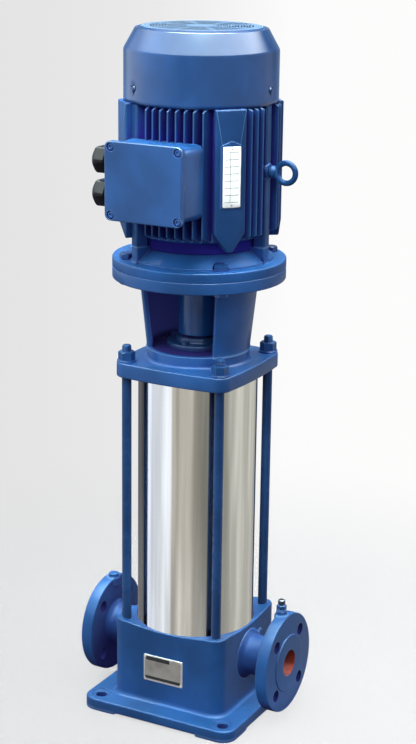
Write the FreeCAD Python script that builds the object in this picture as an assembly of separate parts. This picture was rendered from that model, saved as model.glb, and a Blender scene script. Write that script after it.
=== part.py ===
import FreeCAD, Part
import math
import os

# Vertical multistage pump, driven from above by a flange motor.
# Millimetres. +Z is up along the shaft, +X points out of the discharge port,
# -Y is the front. The origin is the centre of the foot, on the floor.

V = FreeCAD.Vector
UP = V(0, 0, 1)
CORNER_ANGLES = (45, 135, 225, 315)

# Ports: DN 40, PN 16 flanges
PORT_Z = 88.0
PORT_REACH = 68.0
PORT_BORE_R = 20.0
PORT_NECK_R = 30.0
PORT_NECK_FLARE = 8.0
PORT_FLANGE_R = 75.0
PORT_FLANGE_THICK = 18.0
PORT_FACE_R = 43.0
PORT_FACE_RISE = 2.0
PORT_BOLT_CIRCLE = 110.0
PORT_BOLT_HOLE_R = 9.0

# Foot
FOOT_MARGIN = 34.5
FOOT_CORNER_R = 22.0
FOOT_THICK = 18.0
FOOT_RELIEF = 3.0
FOOT_PAD = 58.0
FOOT_HOLE_INSET = 22.5
FOOT_HOLE_R = 8.5
FOOT_SPOT_R = 16.0
FOOT_SPOT_DEPTH = 1.5
FOOT_FILLET = 12.0

# Pump body
BODY_HALF = 92.0
BODY_CORNER_R = 20.0
BODY_TOP = 140.0
WELL_DEPTH = 12.0
WELL_RIM = 21.5
WELL_MID = 10.5
WELL_MID_RISE = 4.0
SUCTION_R = 40.0
SUCTION_DROP = 26.0
BUSH_DEPTH = 22.0
BUSH_WALL = 5.0
DISCHARGE_WALL = 7.5
DISCHARGE_SEAT = 14.0
DISCHARGE_DEPTH = 14.0
DISCHARGE_DROP = 24.0
DISCHARGE_INNER_WALL = 6.0
PLUG_R = 5.0
PLUG_THREAD = 10.0
PLUG_HEX = 13.0
PLUG_HEAD = 7.0
PLUG_COLLAR = 2.0
PLUG_STEM_R = 4.2
PLUG_STEM = 1.5
PLUG_CAP_R = 5.4
PLUG_CAP = 7.0
PORT_BOSS_R = 8.0
PORT_BOSS_RISE = 6.0
GAUGE_SET_BACK = 15.0
DRAIN_BOSS_R = 10.0
DRAIN_Z = 40.0
WALL_BOSS_R = 9.0
WALL_BOSS_RISE = 3.0
WALL_BOSS_Y = 34.0
WALL_BOSS_Z = 104.0

# Sleeve, tie rods and top plate
SLEEVE_INSET = 4.5
SLEEVE_WALL = 3.0
SLEEVE_SEAT = 6.0
GASKET = 2.0
SEAT_CLEARANCE = 0.2
PLATE_THICK = 22.0
PLATE_CORNER_R = 20.0
PLATE_BULGE = 4.0
ROD_R = 7.0
ROD_INSET = 16.0
ROD_HOLE_CLEARANCE = 0.6
ROD_THREAD_DEPTH = 28.0
ROD_TIP = 9.0
ROD_NUT_HEX = 21.5
ROD_NUT_HEIGHT = 12.8
ROD_WASHER_R = 14.0
ROD_WASHER = 2.5

# Motor stool (lantern)
STOOL_RING_R = 75.0
STOOL_RING_HEIGHT = 18.0
STOOL_TOP_R = 86.0
STOOL_WALL = 8.0
LANTERN_HEIGHT = 102.0
STOOL_FLANGE_THICK = 17.0
WINDOW_HEAD = 8.0
WINDOW_HALF_ANGLE = 45.0
SKIRT_WALL = 10.0
SKIRT_HEIGHT = 29.0
SKIRT_SLOT_WIDTH = 32.0
SKIRT_SLOT_HEIGHT = 16.0
SKIRT_SLOTS = 4

# Motor flange
MOTOR_FLANGE_R = 125.0
MOTOR_FLANGE_THICK = 14.0
MOTOR_SPIGOT_R = 90.0
MOTOR_SPIGOT = 4.0
MOTOR_BOLT_INSET = 17.5
MOTOR_BOLT_R = 6.0
MOTOR_BOLT_HOLE_R = 7.25
MOTOR_BOLT_HEX = 18.0
MOTOR_BOLT_HEAD = 8.0
MOTOR_NUT = 10.0

# Motor frame: fins front and back, side fins, four corner lands, three rails
SHIELD_HEIGHT = 19.0
END_RING_INSET = 13.0
FRAME_LENGTH = 203.0
FRAME_R = 95.0
FRAME_WALL = 7.5
FIN_TIP_R = 115.0
FIN_THICK = 3.6
FIN_TIP_THICK = 2.4
FIN_PITCH = 11.7
FINS_LEFT = 2
FINS_RIGHT = 5
FIN_FOOT = 20.0
FIN_FOOT_SLOPE = 0.55
SIDE_FIN_PITCH = 10.5
SIDE_FIN_FIRST = 23.0
SIDE_FINS = 3
RAIL_ANGLES = (0, 120, 240)
RAIL_WIDTH = 16.0
RAIL_R = 107.5
PAD_R = 116.0
PAD_ANGLE = 40.3
PAD_HALF_ANGLE = 11.6
PAD_FOOT = 10.0
PAD_SHOULDER = 33.0
PAD_SLANT = 18.0
SHELL_END = 10.0
STATOR_BORE_R = 54.0
STATOR_CLEARANCE = 33.0
WINDING_OVERHANG = 18.0
AIR_GAP = 0.5
BEARING_R = 36.0
BEARING_BORE_R = 15.0
BEARING_WIDTH = 19.0
BEARING_RING = 6.0
BEARING_WEB = 8.0
BEARING_SEAT_RISE = 8.0
BEARING_SEAT_DROP = 16.0

# Fan and its cover
COVER_R = 109.0
COVER_HEIGHT = 102.0
COVER_CROWN = 31.0
COVER_CROWN_INSET = 18.0
COVER_SHEET = 1.6
COVER_SCREW_RISE = 20.0
COVER_SCREW_R = 3.0
COVER_SCREW_ANGLES = (0, 120, 240)
LUG_HALF = 8.0
GRILLE_PITCH = 17.0
GRILLE_ROWS = 3
GRILLE_FIRST_R = 30.0
GRILLE_SLOT = 7.0
GRILLE_SLOT_ANGLE = 24.0
GRILLE_SLOTS = 10
FAN_TIP_CLEARANCE = 25.0
FAN_RISE = 14.0
FAN_HEIGHT = 34.0
FAN_BLADES = 7
FAN_SHEET = 3.0

# Terminal box on the front of the motor
BOX_RISE = 106.0
BOX_HALF_X = 56.5
BOX_HALF_Z = 50.5
BOX_STANDOFF = 5.0
BOX_DEPTH = 50.0
BOX_WALL = 4.0
BOX_CORNER_R = 12.0
BOX_SEAT_MARGIN = 2.0
BOX_POST_R = 6.0
LID_OVERHANG = 2.5
LID_THICK = 10.0
LID_CORNER_R = 9.0
LID_BEVEL = 3.0
LID_WALL = 9.0
LID_SCREW_R = 2.5
LID_SCREW_HEAD_R = 4.6
LID_SCREW_HEAD = 2.6
LID_SCREW_INSET = 7.0
LID_RECESS_R = 5.8
LID_RECESS = 3.0
BOARD_HALF_X = 30.0
BOARD_HALF_Z = 20.0
BOARD_THICK = 10.0
STUD_PITCH_X = 20.0
STUD_PITCH_Z = 20.0
GLAND_DEPTH = 24.0
GLAND_SPACING = 46.0
GLAND_R = 17.0
GLAND_BODY = 15.0
GLAND_CAP_R = 19.5
GLAND_CAP = 22.0
GLAND_BORE_R = 8.0
GLAND_THREAD_R = 13.0

# Shafts, coupling and shaft seal
MOTOR_SHAFT_R = 14.0
MOTOR_SHAFT_END = 60.0
ROTOR_SHAFT_R = 19.0
PUMP_SHAFT_R = 11.0
SHAFT_GAP = 4.0
COUPLING_R = 30.0
COUPLING_RISE = 19.0
COUPLING_CLEARANCE = 5.0
COUPLING_SCREW_R = 4.0
COUPLING_SCREW_INSET = 12.0
COUPLING_SCREW_SUNK = 1.5
KEY_WIDTH = 8.0
KEY_RISE = 3.0
KEY_LENGTH = 28.0
GLAND_PLATE_R = 46.0
GLAND_PLATE = 8.0
GLAND_SPIGOT = 8.0
GLAND_BOLT_R = 3.0
GLAND_BOLT_HEX = 9.0
GLAND_BOLT_HEAD = 5.0
GLAND_BOLT_DEPTH = 11.0
GLAND_BOLT_HOLE_R = 3.2
SEAL_NECK_R = 34.0
SEAL_NECK = 8.0
SEAL_BORE_R = 28.0
SEAL_HEAD_R = 22.0
SEAL_HEAD = 22.0
SEAL_SEAT = 7.0
SEAL_GAP = 0.05
RUNNING_FIT = 0.05
NUT_HEX = 30.0
NUT_HEIGHT = 12.0

# Stages
STAGES = 6
STAGE_PITCH = 60.0
BOWL_INSET = 17.5
BOWL_WALL = 4.0
BOWL_FLOOR = 5.0
IMPELLER_CLEARANCE = 16.0
IMPELLER_EYE_R = 25.0
IMPELLER_SHROUD = 2.5
IMPELLER_PASSAGE = 12.0
IMPELLER_LIFT = 8.0
IMPELLER_HUB_R = 16.0
BLADES = 6
BLADE_THICK = 2.5
BLADE_ARC_R = 42.0
GUIDE_VANES = 6
GUIDE_VANE_THICK = 3.0
DIAPHRAGM = 3.0
WEAR_GAP = 0.3

# Nameplates and lifting eye
PLATE_SHEET = 0.8
RIVET_R = 1.6
RIVET_HEAD = 0.8
RIVET_INSET = 3.0
PUMP_PLATE_WIDTH = 66.0
PUMP_PLATE_HEIGHT = 42.0
PUMP_PLATE_X = -3.5
PUMP_PLATE_Z = 74.0
MOTOR_PLATE_WIDTH = 26.0
MOTOR_PLATE_HEIGHT = 83.0
MOTOR_PLATE_RISE = 112.0
PLATE_LAND = 1.5
PLATE_LAND_MARGIN = 1.5
EYE_RISE = 111.0
EYE_RING_R = 14.0
EYE_SECTION_R = 4.0
EYE_REACH = 27.5
EYE_BOSS_R = 11.0
EYE_BOSS_RISE = 2.5
EYE_SHANK_R = 4.0

# Sizes and levels that follow from those above
PORT_TO_PORT = 2 * (BODY_HALF + PORT_REACH)
FOOT_HALF = BODY_HALF + FOOT_MARGIN
FOOT_HOLE_SPACING = 2 * (FOOT_HALF - FOOT_HOLE_INSET)
SLEEVE_R = BODY_HALF - SLEEVE_INSET
ROD_AT = BODY_HALF - ROD_INSET
PLATE_HALF = BODY_HALF
BOWL_R = SLEEVE_R - BOWL_INSET
IMPELLER_R = BOWL_R - IMPELLER_CLEARANCE
SKIRT_R_IN = BOWL_R - SKIRT_WALL
DISCHARGE_R_OUT = SLEEVE_R - DISCHARGE_WALL
DISCHARGE_R_IN = BOWL_R - DISCHARGE_SEAT
WELL_Z = BODY_TOP - WELL_DEPTH
WELL_MID_Z = WELL_Z + WELL_MID_RISE
WELL_MID_R = SLEEVE_R + WELL_MID
WELL_RIM_R = SLEEVE_R + WELL_RIM
SUCTION_FLOOR_Z = PORT_Z - SUCTION_DROP
DISCHARGE_FLOOR_Z = WELL_Z - DISCHARGE_DEPTH
DISCHARGE_POCKET_Z = PORT_Z - DISCHARGE_DROP
STACK_TOP = WELL_Z + STAGES * STAGE_PITCH
PLATE_Z = STACK_TOP + SKIRT_HEIGHT
PLATE_TOP = PLATE_Z + PLATE_THICK
STOOL_FLOOR = PLATE_TOP + STOOL_RING_HEIGHT
STOOL_FLANGE_Z = STOOL_FLOOR + LANTERN_HEIGHT
BRACKET_TOP = STOOL_FLANGE_Z + STOOL_FLANGE_THICK
MOTOR_BOLT_CIRCLE = 2 * (MOTOR_FLANGE_R - MOTOR_BOLT_INSET)
MOTOR_FLANGE_TOP = BRACKET_TOP + MOTOR_FLANGE_THICK
COUPLING_Z = STOOL_FLOOR + COUPLING_RISE
COUPLING_TOP = STOOL_FLANGE_Z - COUPLING_CLEARANCE
END_RING_R = FRAME_R - END_RING_INSET
FRAME_Z = MOTOR_FLANGE_TOP + SHIELD_HEIGHT
FRAME_TOP = FRAME_Z + FRAME_LENGTH
FRAME_BORE_R = FRAME_R - FRAME_WALL
SHELL_TOP = FRAME_TOP - SHELL_END
FIN_FOOT_Z = FRAME_Z + FIN_FOOT
PAD_FOOT_Z = FRAME_Z + PAD_FOOT
PAD_SHOULDER_Z = FRAME_Z + PAD_SHOULDER
STATOR_Z = FRAME_Z + STATOR_CLEARANCE
STATOR_LENGTH = FRAME_LENGTH - 2 * STATOR_CLEARANCE
COVER_TOP_Z = FRAME_TOP + COVER_HEIGHT
COVER_SHOULDER_Z = COVER_TOP_Z - COVER_CROWN
COVER_TOP_R = COVER_R - COVER_CROWN_INSET
COVER_SCREW_Z = FRAME_TOP + COVER_SCREW_RISE
FAN_R = COVER_R - FAN_TIP_CLEARANCE
FAN_Z = FRAME_TOP + FAN_RISE
BOX_Z = FRAME_Z + BOX_RISE
BOX_BACK = FRAME_R + BOX_STANDOFF
BOX_FRONT = BOX_BACK + BOX_DEPTH
LID_FRONT = BOX_FRONT + LID_THICK
LID_HALF_X = BOX_HALF_X + LID_OVERHANG
LID_HALF_Z = BOX_HALF_Z + LID_OVERHANG
GLAND_Y = BOX_FRONT - GLAND_DEPTH
MOTOR_PLATE_Z = FRAME_Z + MOTOR_PLATE_RISE
EYE_Z = FRAME_Z + EYE_RISE
EYE_X = RAIL_R + EYE_REACH


def cylinder(r, z0, z1, x=0, y=0):
    return Part.makeCylinder(r, z1 - z0, V(x, y, z0))


def ring(r_out, r_in, z0, z1, x=0, y=0):
    return cylinder(r_out, z0, z1, x, y).cut(cylinder(r_in, z0, z1, x, y))


def rod_along(axis, r, start, length):
    return Part.makeCylinder(r, length, V(*start), V(*axis))


def box(x0, x1, y0, y1, z0, z1):
    return Part.makeBox(x1 - x0, y1 - y0, z1 - z0, V(x0, y0, z0))


def face(points):
    corners = [V(*p) for p in points]
    return Part.Face(Part.makePolygon(corners + corners[:1]))


def revolve(profile):
    """Turn a list of (radius, z) points about the shaft axis."""
    return face([(r, 0, z) for r, z in profile]).revolve(V(0, 0, 0), UP, 360)


def turned(shape, degrees):
    copy = shape.copy()
    copy.rotate(V(0, 0, 0), UP, degrees)
    return copy


def around(shape, angles):
    return [turned(shape, angle) for angle in angles]


def fuse(shapes):
    return shapes[0].fuse(shapes[1:]).removeSplitter()


def rounded_outline(half_x, half_y, r, bulge=0.0):
    """Rectangle about the origin with round corners; the sides may swell out by bulge."""
    a, b = half_x - r, half_y - r
    edges = []
    for quarter in range(4):
        along, across = (a, b) if quarter % 2 == 0 else (b, a)
        reach = (half_x if quarter % 2 == 0 else half_y)
        turn = quarter * math.pi / 2
        place = FreeCAD.Placement(V(0, 0, 0), FreeCAD.Rotation(UP, math.degrees(turn)))
        start, end = V(reach, -across, 0), V(reach, across, 0)
        if bulge:
            side = Part.Arc(start, V(reach + bulge, 0, 0), end).toShape()
        else:
            side = Part.LineSegment(start, end).toShape()
        c = math.sqrt(0.5) * r
        corner = Part.Arc(end, V(along + c, across + c, 0), V(along, across + r, 0)).toShape()
        for edge in (side, corner):
            edge.Placement = place
            edges.append(edge)
    return Part.Wire(Part.__sortEdges__(edges))


def rounded_block(half_x, half_y, r, z0, z1, bulge=0.0):
    outline = rounded_outline(half_x, half_y, r, bulge)
    block = Part.Face(outline).extrude(V(0, 0, z1 - z0))
    block.translate(V(0, 0, z0))
    return block


def front_block(half_x, half_z, r, y0, y1, z):
    """Rounded block whose outline lies in XZ, from y = -y0 out to y = -y1."""
    block = rounded_block(half_x, half_z, r, y0, y1)
    block.rotate(V(0, 0, 0), V(1, 0, 0), 90)
    block.translate(V(0, 0, z))
    return block


def hexagon(across_flats, z0, z1, x=0, y=0):
    r = across_flats / math.sqrt(3)
    points = [(x + r * math.cos(math.radians(60 * i)), y + r * math.sin(math.radians(60 * i)), z0)
              for i in range(6)]
    return face(points).extrude(V(0, 0, z1 - z0))


def corner_posts(make):
    """Four copies of make(x, y), one at each tie rod."""
    return [make(x, y) for x in (-ROD_AT, ROD_AT) for y in (-ROD_AT, ROD_AT)]


def on_side(shape, side):
    """Point a shape built along +Z towards +X (side 1) or -X (side -1)."""
    copy = shape.copy()
    copy.rotate(V(0, 0, 0), V(0, 1, 0), 90 * side)
    return copy


# Pump body: foot and square barrel; each port branch seats on the barrel's wall
def gauge_tapping():
    """Centre and top of the cast boss on a port flange."""
    return PORT_TO_PORT / 2 - GAUGE_SET_BACK, PORT_Z + PORT_FLANGE_R + PORT_BOSS_RISE


def port_profile():
    """Outline of the neck and the flange along the port's axis: (radius, distance from the shaft)."""
    face_at = PORT_TO_PORT / 2
    front = face_at - PORT_FACE_RISE
    back = front - PORT_FLANGE_THICK
    flare = PORT_NECK_FLARE
    wide = PORT_NECK_R + flare
    return [(PORT_BORE_R, BODY_HALF), (wide, BODY_HALF), (PORT_NECK_R, BODY_HALF + flare),
            (PORT_NECK_R, back - flare), (wide, back), (PORT_FLANGE_R, back), (PORT_FLANGE_R, front),
            (PORT_FACE_R, front), (PORT_FACE_R, face_at), (PORT_BORE_R, face_at)]


def port_bolt_holes():
    back = PORT_TO_PORT / 2 - PORT_FACE_RISE - PORT_FLANGE_THICK
    holes = []
    for angle in CORNER_ANGLES:
        across = PORT_BOLT_CIRCLE / 2 * math.cos(math.radians(angle))
        up = PORT_BOLT_CIRCLE / 2 * math.sin(math.radians(angle))
        holes.append(rod_along((0, 0, 1), PORT_BOLT_HOLE_R, (across, up, back - 1), PORT_FLANGE_THICK + 2))
    return holes


def port_branch(side):
    """Neck, flange and gauge boss; side is 1 for the discharge and -1 for the suction."""
    body = revolve(port_profile()).cut(Part.makeCompound(port_bolt_holes()))
    body = on_side(body, side)
    body.translate(V(0, 0, PORT_Z))
    x, top = gauge_tapping()
    boss = cylinder(PORT_BOSS_R, top - 2 * PORT_BOSS_R, top, side * x)
    return body.fuse(boss).cut(cylinder(PLUG_R, top - PLUG_THREAD, top + 1, side * x))


def foot():
    block = rounded_block(FOOT_HALF, FOOT_HALF, FOOT_CORNER_R, 0, FOOT_THICK)
    channel = FOOT_HALF - FOOT_PAD
    relief = box(-channel, channel, -FOOT_HALF, FOOT_HALF, 0, FOOT_RELIEF)
    relief = relief.fuse(box(-FOOT_HALF, FOOT_HALF, -channel, channel, 0, FOOT_RELIEF))
    return block.cut(relief)


def foot_holes():
    """Bolt holes with their spot faces."""
    at = FOOT_HOLE_SPACING / 2
    low = FOOT_THICK - FOOT_SPOT_DEPTH
    holes = []
    for x in (-at, at):
        for y in (-at, at):
            hole = cylinder(FOOT_HOLE_R, -1, FOOT_THICK, x, y)
            holes.append(hole.fuse(cylinder(FOOT_SPOT_R, low, FOOT_THICK + FOOT_FILLET, x, y)))
    return holes


def filleted_foot(barrel):
    """Join the barrel to the foot with a round fillet all along its base."""
    joined = foot().fuse(barrel)
    reach = BODY_HALF + 0.1
    base = [edge for edge in joined.Edges
            if abs(edge.BoundBox.ZMin - FOOT_THICK) < 0.01 and edge.BoundBox.ZLength < 0.01
            and max(abs(edge.BoundBox.XMin), abs(edge.BoundBox.XMax)) < reach
            and max(abs(edge.BoundBox.YMin), abs(edge.BoundBox.YMax)) < reach]
    return joined.makeFillet(FOOT_FILLET, base)


def pump_body():
    barrel = rounded_block(BODY_HALF, BODY_HALF, BODY_CORNER_R, FOOT_THICK - 4, BODY_TOP)
    drain_boss = rod_along((0, 1, 0), DRAIN_BOSS_R, (0, BODY_HALF - 4, DRAIN_Z), 4 + PLUG_COLLAR)
    wall_boss = rod_along((1, 0, 0), WALL_BOSS_R, (BODY_HALF - 4, WALL_BOSS_Y, WALL_BOSS_Z), 4 + WALL_BOSS_RISE)
    neck_seat = rod_along((1, 0, 0), PORT_NECK_R + PORT_NECK_FLARE, (BODY_HALF, 0, PORT_Z), WALL_BOSS_RISE + 1)
    wall_boss = wall_boss.cut(neck_seat)
    body = fuse([filleted_foot(barrel), drain_boss, wall_boss])
    well = revolve([(0, WELL_Z), (SLEEVE_R + 1, WELL_Z), (WELL_MID_R, WELL_MID_Z), (WELL_RIM_R, BODY_TOP),
                    (WELL_RIM_R, BODY_TOP + WELL_DEPTH), (0, BODY_TOP + WELL_DEPTH)])
    cuts = foot_holes() + [well, sleeve_seat(WELL_Z - SLEEVE_SEAT, WELL_Z)]
    cuts.append(cylinder(SUCTION_R, SUCTION_FLOOR_Z, WELL_Z))
    cuts.append(ring(DISCHARGE_R_OUT, DISCHARGE_R_IN, DISCHARGE_FLOOR_Z, WELL_Z))
    pocket = ring(DISCHARGE_R_OUT, DISCHARGE_R_IN, DISCHARGE_POCKET_Z, DISCHARGE_FLOOR_Z)
    cuts.append(pocket.common(box(SUCTION_R, BODY_HALF, -BODY_HALF, BODY_HALF, 0, BODY_TOP)))
    reach = BODY_HALF + 1
    cuts.append(rod_along((-1, 0, 0), PORT_BORE_R, (-SUCTION_R / 2, 0, PORT_Z), reach - SUCTION_R / 2))
    inner = DISCHARGE_R_IN + DISCHARGE_INNER_WALL
    cuts.append(rod_along((1, 0, 0), PORT_BORE_R, (inner, 0, PORT_Z), reach - inner))
    cuts += corner_posts(lambda x, y: cylinder(ROD_R, BODY_TOP - ROD_THREAD_DEPTH, BODY_TOP + 1, x, y))
    cuts.append(rod_along((0, 1, 0), PLUG_R, (0, BODY_HALF + PLUG_COLLAR - PLUG_THREAD, DRAIN_Z),
                          PLUG_THREAD + 1))
    bush_low = SUCTION_FLOOR_Z - BUSH_DEPTH
    bush_seat = cylinder(PUMP_SHAFT_R + BUSH_WALL, bush_low, SUCTION_FLOOR_Z)
    cuts.append(bush_seat.fuse(cylinder(PUMP_SHAFT_R + BUSH_WALL / 2, bush_low - BUSH_WALL, bush_low)))
    for cut in cuts:
        body = body.cut(cut)
    return body


def sleeve_seat(z0, z1):
    return ring(SLEEVE_R + SEAT_CLEARANCE, SLEEVE_R - SLEEVE_WALL - SEAT_CLEARANCE, z0, z1)


def outer_sleeve():
    low = WELL_Z - SLEEVE_SEAT + GASKET
    high = PLATE_Z + SLEEVE_SEAT - GASKET
    return ring(SLEEVE_R, SLEEVE_R - SLEEVE_WALL, low, high)


def sleeve_gaskets():
    lows = (WELL_Z - SLEEVE_SEAT, PLATE_Z + SLEEVE_SEAT - GASKET)
    return [ring(SLEEVE_R, SLEEVE_R - SLEEVE_WALL, low, low + GASKET) for low in lows]


def hex_plug():
    """Capped screw plug along +Z with its sealing face at z = 0."""
    top = PLUG_COLLAR + PLUG_HEAD
    head = hexagon(PLUG_HEX, PLUG_COLLAR, top)
    cap_low = top + PLUG_STEM
    cap_top = cap_low + PLUG_CAP
    turned_part = revolve([(0, 0.5 - PLUG_THREAD), (PLUG_R, 0.5 - PLUG_THREAD), (PLUG_R, 0),
                           (PLUG_HEX / 2 + 1, 0), (PLUG_HEX / 2 + 1, PLUG_COLLAR), (PLUG_STEM_R, top),
                           (PLUG_STEM_R, cap_low), (PLUG_CAP_R, cap_low), (PLUG_CAP_R, cap_top - 2),
                           (PLUG_CAP_R - 2, cap_top), (0, cap_top)])
    return turned_part.fuse(head)


def screw_plugs():
    """One on the discharge flange for a gauge, one low on the back to drain the body."""
    gauge = hex_plug()
    x, top = gauge_tapping()
    gauge.translate(V(x, 0, top))
    drain = hex_plug()
    drain.rotate(V(0, 0, 0), V(1, 0, 0), -90)
    drain.translate(V(0, BODY_HALF + PLUG_COLLAR, DRAIN_Z))
    return [gauge, drain]


def tie_rods():
    top = PLATE_TOP + ROD_WASHER + ROD_NUT_HEIGHT + ROD_TIP
    return corner_posts(lambda x, y: cylinder(ROD_R, BODY_TOP - ROD_THREAD_DEPTH, top, x, y))


def tie_rod_washers():
    return corner_posts(lambda x, y: ring(ROD_WASHER_R, ROD_R, PLATE_TOP, PLATE_TOP + ROD_WASHER, x, y))


def tie_rod_nuts():
    low = PLATE_TOP + ROD_WASHER
    high = low + ROD_NUT_HEIGHT
    return corner_posts(lambda x, y: hexagon(ROD_NUT_HEX, low, high, x, y).cut(
        cylinder(ROD_R, low, high, x, y)))


# Motor stool: top plate, lantern and bracket flange in one casting
def stool_wall():
    slope = (STOOL_TOP_R - STOOL_RING_R) / (STOOL_FLANGE_Z - STOOL_FLOOR)
    flare = 5.0
    top = STOOL_FLANGE_Z + 1
    outer_top = STOOL_RING_R + slope * (top - flare - STOOL_FLOOR)
    inner_low = STOOL_RING_R - STOOL_WALL
    inner_top = STOOL_TOP_R - STOOL_WALL
    wall = revolve([(inner_low, STOOL_FLOOR - 1), (STOOL_RING_R, STOOL_FLOOR - 1), (outer_top, top - flare),
                    (outer_top + flare, top), (inner_top, top)])
    reach = 2 * STOOL_TOP_R
    half = math.radians(WINDOW_HALF_ANGLE)
    low, high = STOOL_FLOOR, STOOL_FLANGE_Z - WINDOW_HEAD
    for side in (1, -1):
        x, y = reach * math.sin(half), side * reach * math.cos(half)
        window = face([(0, 0, low), (x, y, low), (-x, y, low)]).extrude(V(0, 0, high - low))
        wall = wall.cut(window)
    return wall


def skirt():
    """Ring under the plate that clamps the stage stack; its slots let the water out."""
    body = ring(BOWL_R, SKIRT_R_IN, STACK_TOP, PLATE_Z + 1)
    low = PLATE_Z - SKIRT_SLOT_HEIGHT
    slot = box(0, BOWL_R + 1, -SKIRT_SLOT_WIDTH / 2, SKIRT_SLOT_WIDTH / 2, low, PLATE_Z)
    return body.cut(Part.makeCompound(around(slot, [i * 360 / SKIRT_SLOTS for i in range(SKIRT_SLOTS)])))


def motor_stool():
    plate = rounded_block(PLATE_HALF, PLATE_HALF, PLATE_CORNER_R, PLATE_Z, PLATE_TOP, PLATE_BULGE)
    base = revolve([(0, PLATE_TOP - 1), (STOOL_RING_R + 5, PLATE_TOP - 1), (STOOL_RING_R, PLATE_TOP + 4),
                    (STOOL_RING_R, STOOL_FLOOR), (0, STOOL_FLOOR)])
    flange = cylinder(MOTOR_FLANGE_R, STOOL_FLANGE_Z, BRACKET_TOP)
    stool = fuse([plate, base, stool_wall(), flange, skirt()])
    stool = stool.cut(cylinder(STOOL_TOP_R - STOOL_WALL, STOOL_FLANGE_Z - 1, BRACKET_TOP + 1))
    register = cylinder(MOTOR_SPIGOT_R + SEAT_CLEARANCE, BRACKET_TOP - MOTOR_SPIGOT - 0.5, BRACKET_TOP)
    stool = stool.cut(register)
    stool = stool.cut(cylinder(SEAL_BORE_R, PLATE_Z, STOOL_FLOOR))
    stool = stool.cut(sleeve_seat(PLATE_Z, PLATE_Z + SLEEVE_SEAT))
    rod_hole = ROD_R + ROD_HOLE_CLEARANCE
    stool = stool.cut(Part.makeCompound(
        corner_posts(lambda x, y: cylinder(rod_hole, PLATE_Z, PLATE_TOP, x, y))))
    stool = stool.cut(Part.makeCompound(motor_bolt_circle(MOTOR_BOLT_HOLE_R, STOOL_FLANGE_Z, BRACKET_TOP)))
    gland_taps = seal_gland_bolts_at(GLAND_BOLT_R, STOOL_FLOOR - GLAND_BOLT_DEPTH - 1, STOOL_FLOOR)
    return stool.cut(Part.makeCompound(gland_taps))


def motor_bolt_circle(r, z0, z1):
    return around(cylinder(r, z0, z1, MOTOR_BOLT_CIRCLE / 2), CORNER_ANGLES)


def motor_bolts():
    at = MOTOR_BOLT_CIRCLE / 2
    bolt = cylinder(MOTOR_BOLT_R, STOOL_FLANGE_Z - MOTOR_NUT - 4, MOTOR_FLANGE_TOP, at)
    head = hexagon(MOTOR_BOLT_HEX, MOTOR_FLANGE_TOP, MOTOR_FLANGE_TOP + MOTOR_BOLT_HEAD, at)
    return around(bolt.fuse(head), CORNER_ANGLES)


def motor_bolt_nuts():
    at = MOTOR_BOLT_CIRCLE / 2
    nut = hexagon(MOTOR_BOLT_HEX, STOOL_FLANGE_Z - MOTOR_NUT, STOOL_FLANGE_Z, at)
    return around(nut.cut(cylinder(MOTOR_BOLT_R, 0, STOOL_FLANGE_Z, at)), CORNER_ANGLES)


# Shaft seal on the floor of the stool
def seal_gland_bolts_at(r, z0, z1):
    return around(cylinder(r, z0, z1, (GLAND_PLATE_R + SEAL_NECK_R) / 2), (0, 90, 180, 270))


def seal_gland():
    z = STOOL_FLOOR
    spigot = SEAL_BORE_R - SEAT_CLEARANCE
    bore = PUMP_SHAFT_R + 2
    low = z - GLAND_SPIGOT
    body = revolve([(bore, low), (spigot, low), (spigot, z), (GLAND_PLATE_R, z),
                    (GLAND_PLATE_R, z + GLAND_PLATE), (SEAL_NECK_R, z + GLAND_PLATE),
                    (SEAL_NECK_R - 1.5, z + GLAND_PLATE + SEAL_NECK), (bore, z + GLAND_PLATE + SEAL_NECK)])
    return body.cut(Part.makeCompound(seal_gland_bolts_at(GLAND_BOLT_HOLE_R, z, z + GLAND_PLATE)))


def seal_gland_bolts():
    z = STOOL_FLOOR + GLAND_PLATE
    at = (GLAND_PLATE_R + SEAL_NECK_R) / 2
    bolt = cylinder(GLAND_BOLT_R, STOOL_FLOOR - GLAND_BOLT_DEPTH, z, at)
    bolt = bolt.fuse(hexagon(GLAND_BOLT_HEX, z, z + GLAND_BOLT_HEAD, at))
    return around(bolt, (0, 90, 180, 270))


def seal_seat():
    z = STOOL_FLOOR - GLAND_SPIGOT
    return ring(SEAL_HEAD_R + 2, PUMP_SHAFT_R + 1.5, z - SEAL_SEAT, z)


def seal_head():
    z = STOOL_FLOOR - GLAND_SPIGOT - SEAL_SEAT - SEAL_GAP
    return revolve([(PUMP_SHAFT_R, z), (SEAL_HEAD_R - 4, z), (SEAL_HEAD_R - 4, z - 5), (SEAL_HEAD_R, z - 5),
                    (SEAL_HEAD_R, z - SEAL_HEAD), (PUMP_SHAFT_R, z - SEAL_HEAD)])


# Stages
def arc_blade(r0, r1, arc_r, thick, z0, z1):
    """Vane between two radii, cut from a thin upright ring so that it sweeps backward."""
    hollow = ring(arc_r + thick / 2, arc_r - thick / 2, z0, z1, arc_r * 0.5 + r0 * 0.4, arc_r)
    keep = ring(r1, r0, z0, z1).common(box(0, 2 * r1, -r1, arc_r, z0, z1))
    return hollow.common(keep)


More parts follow.
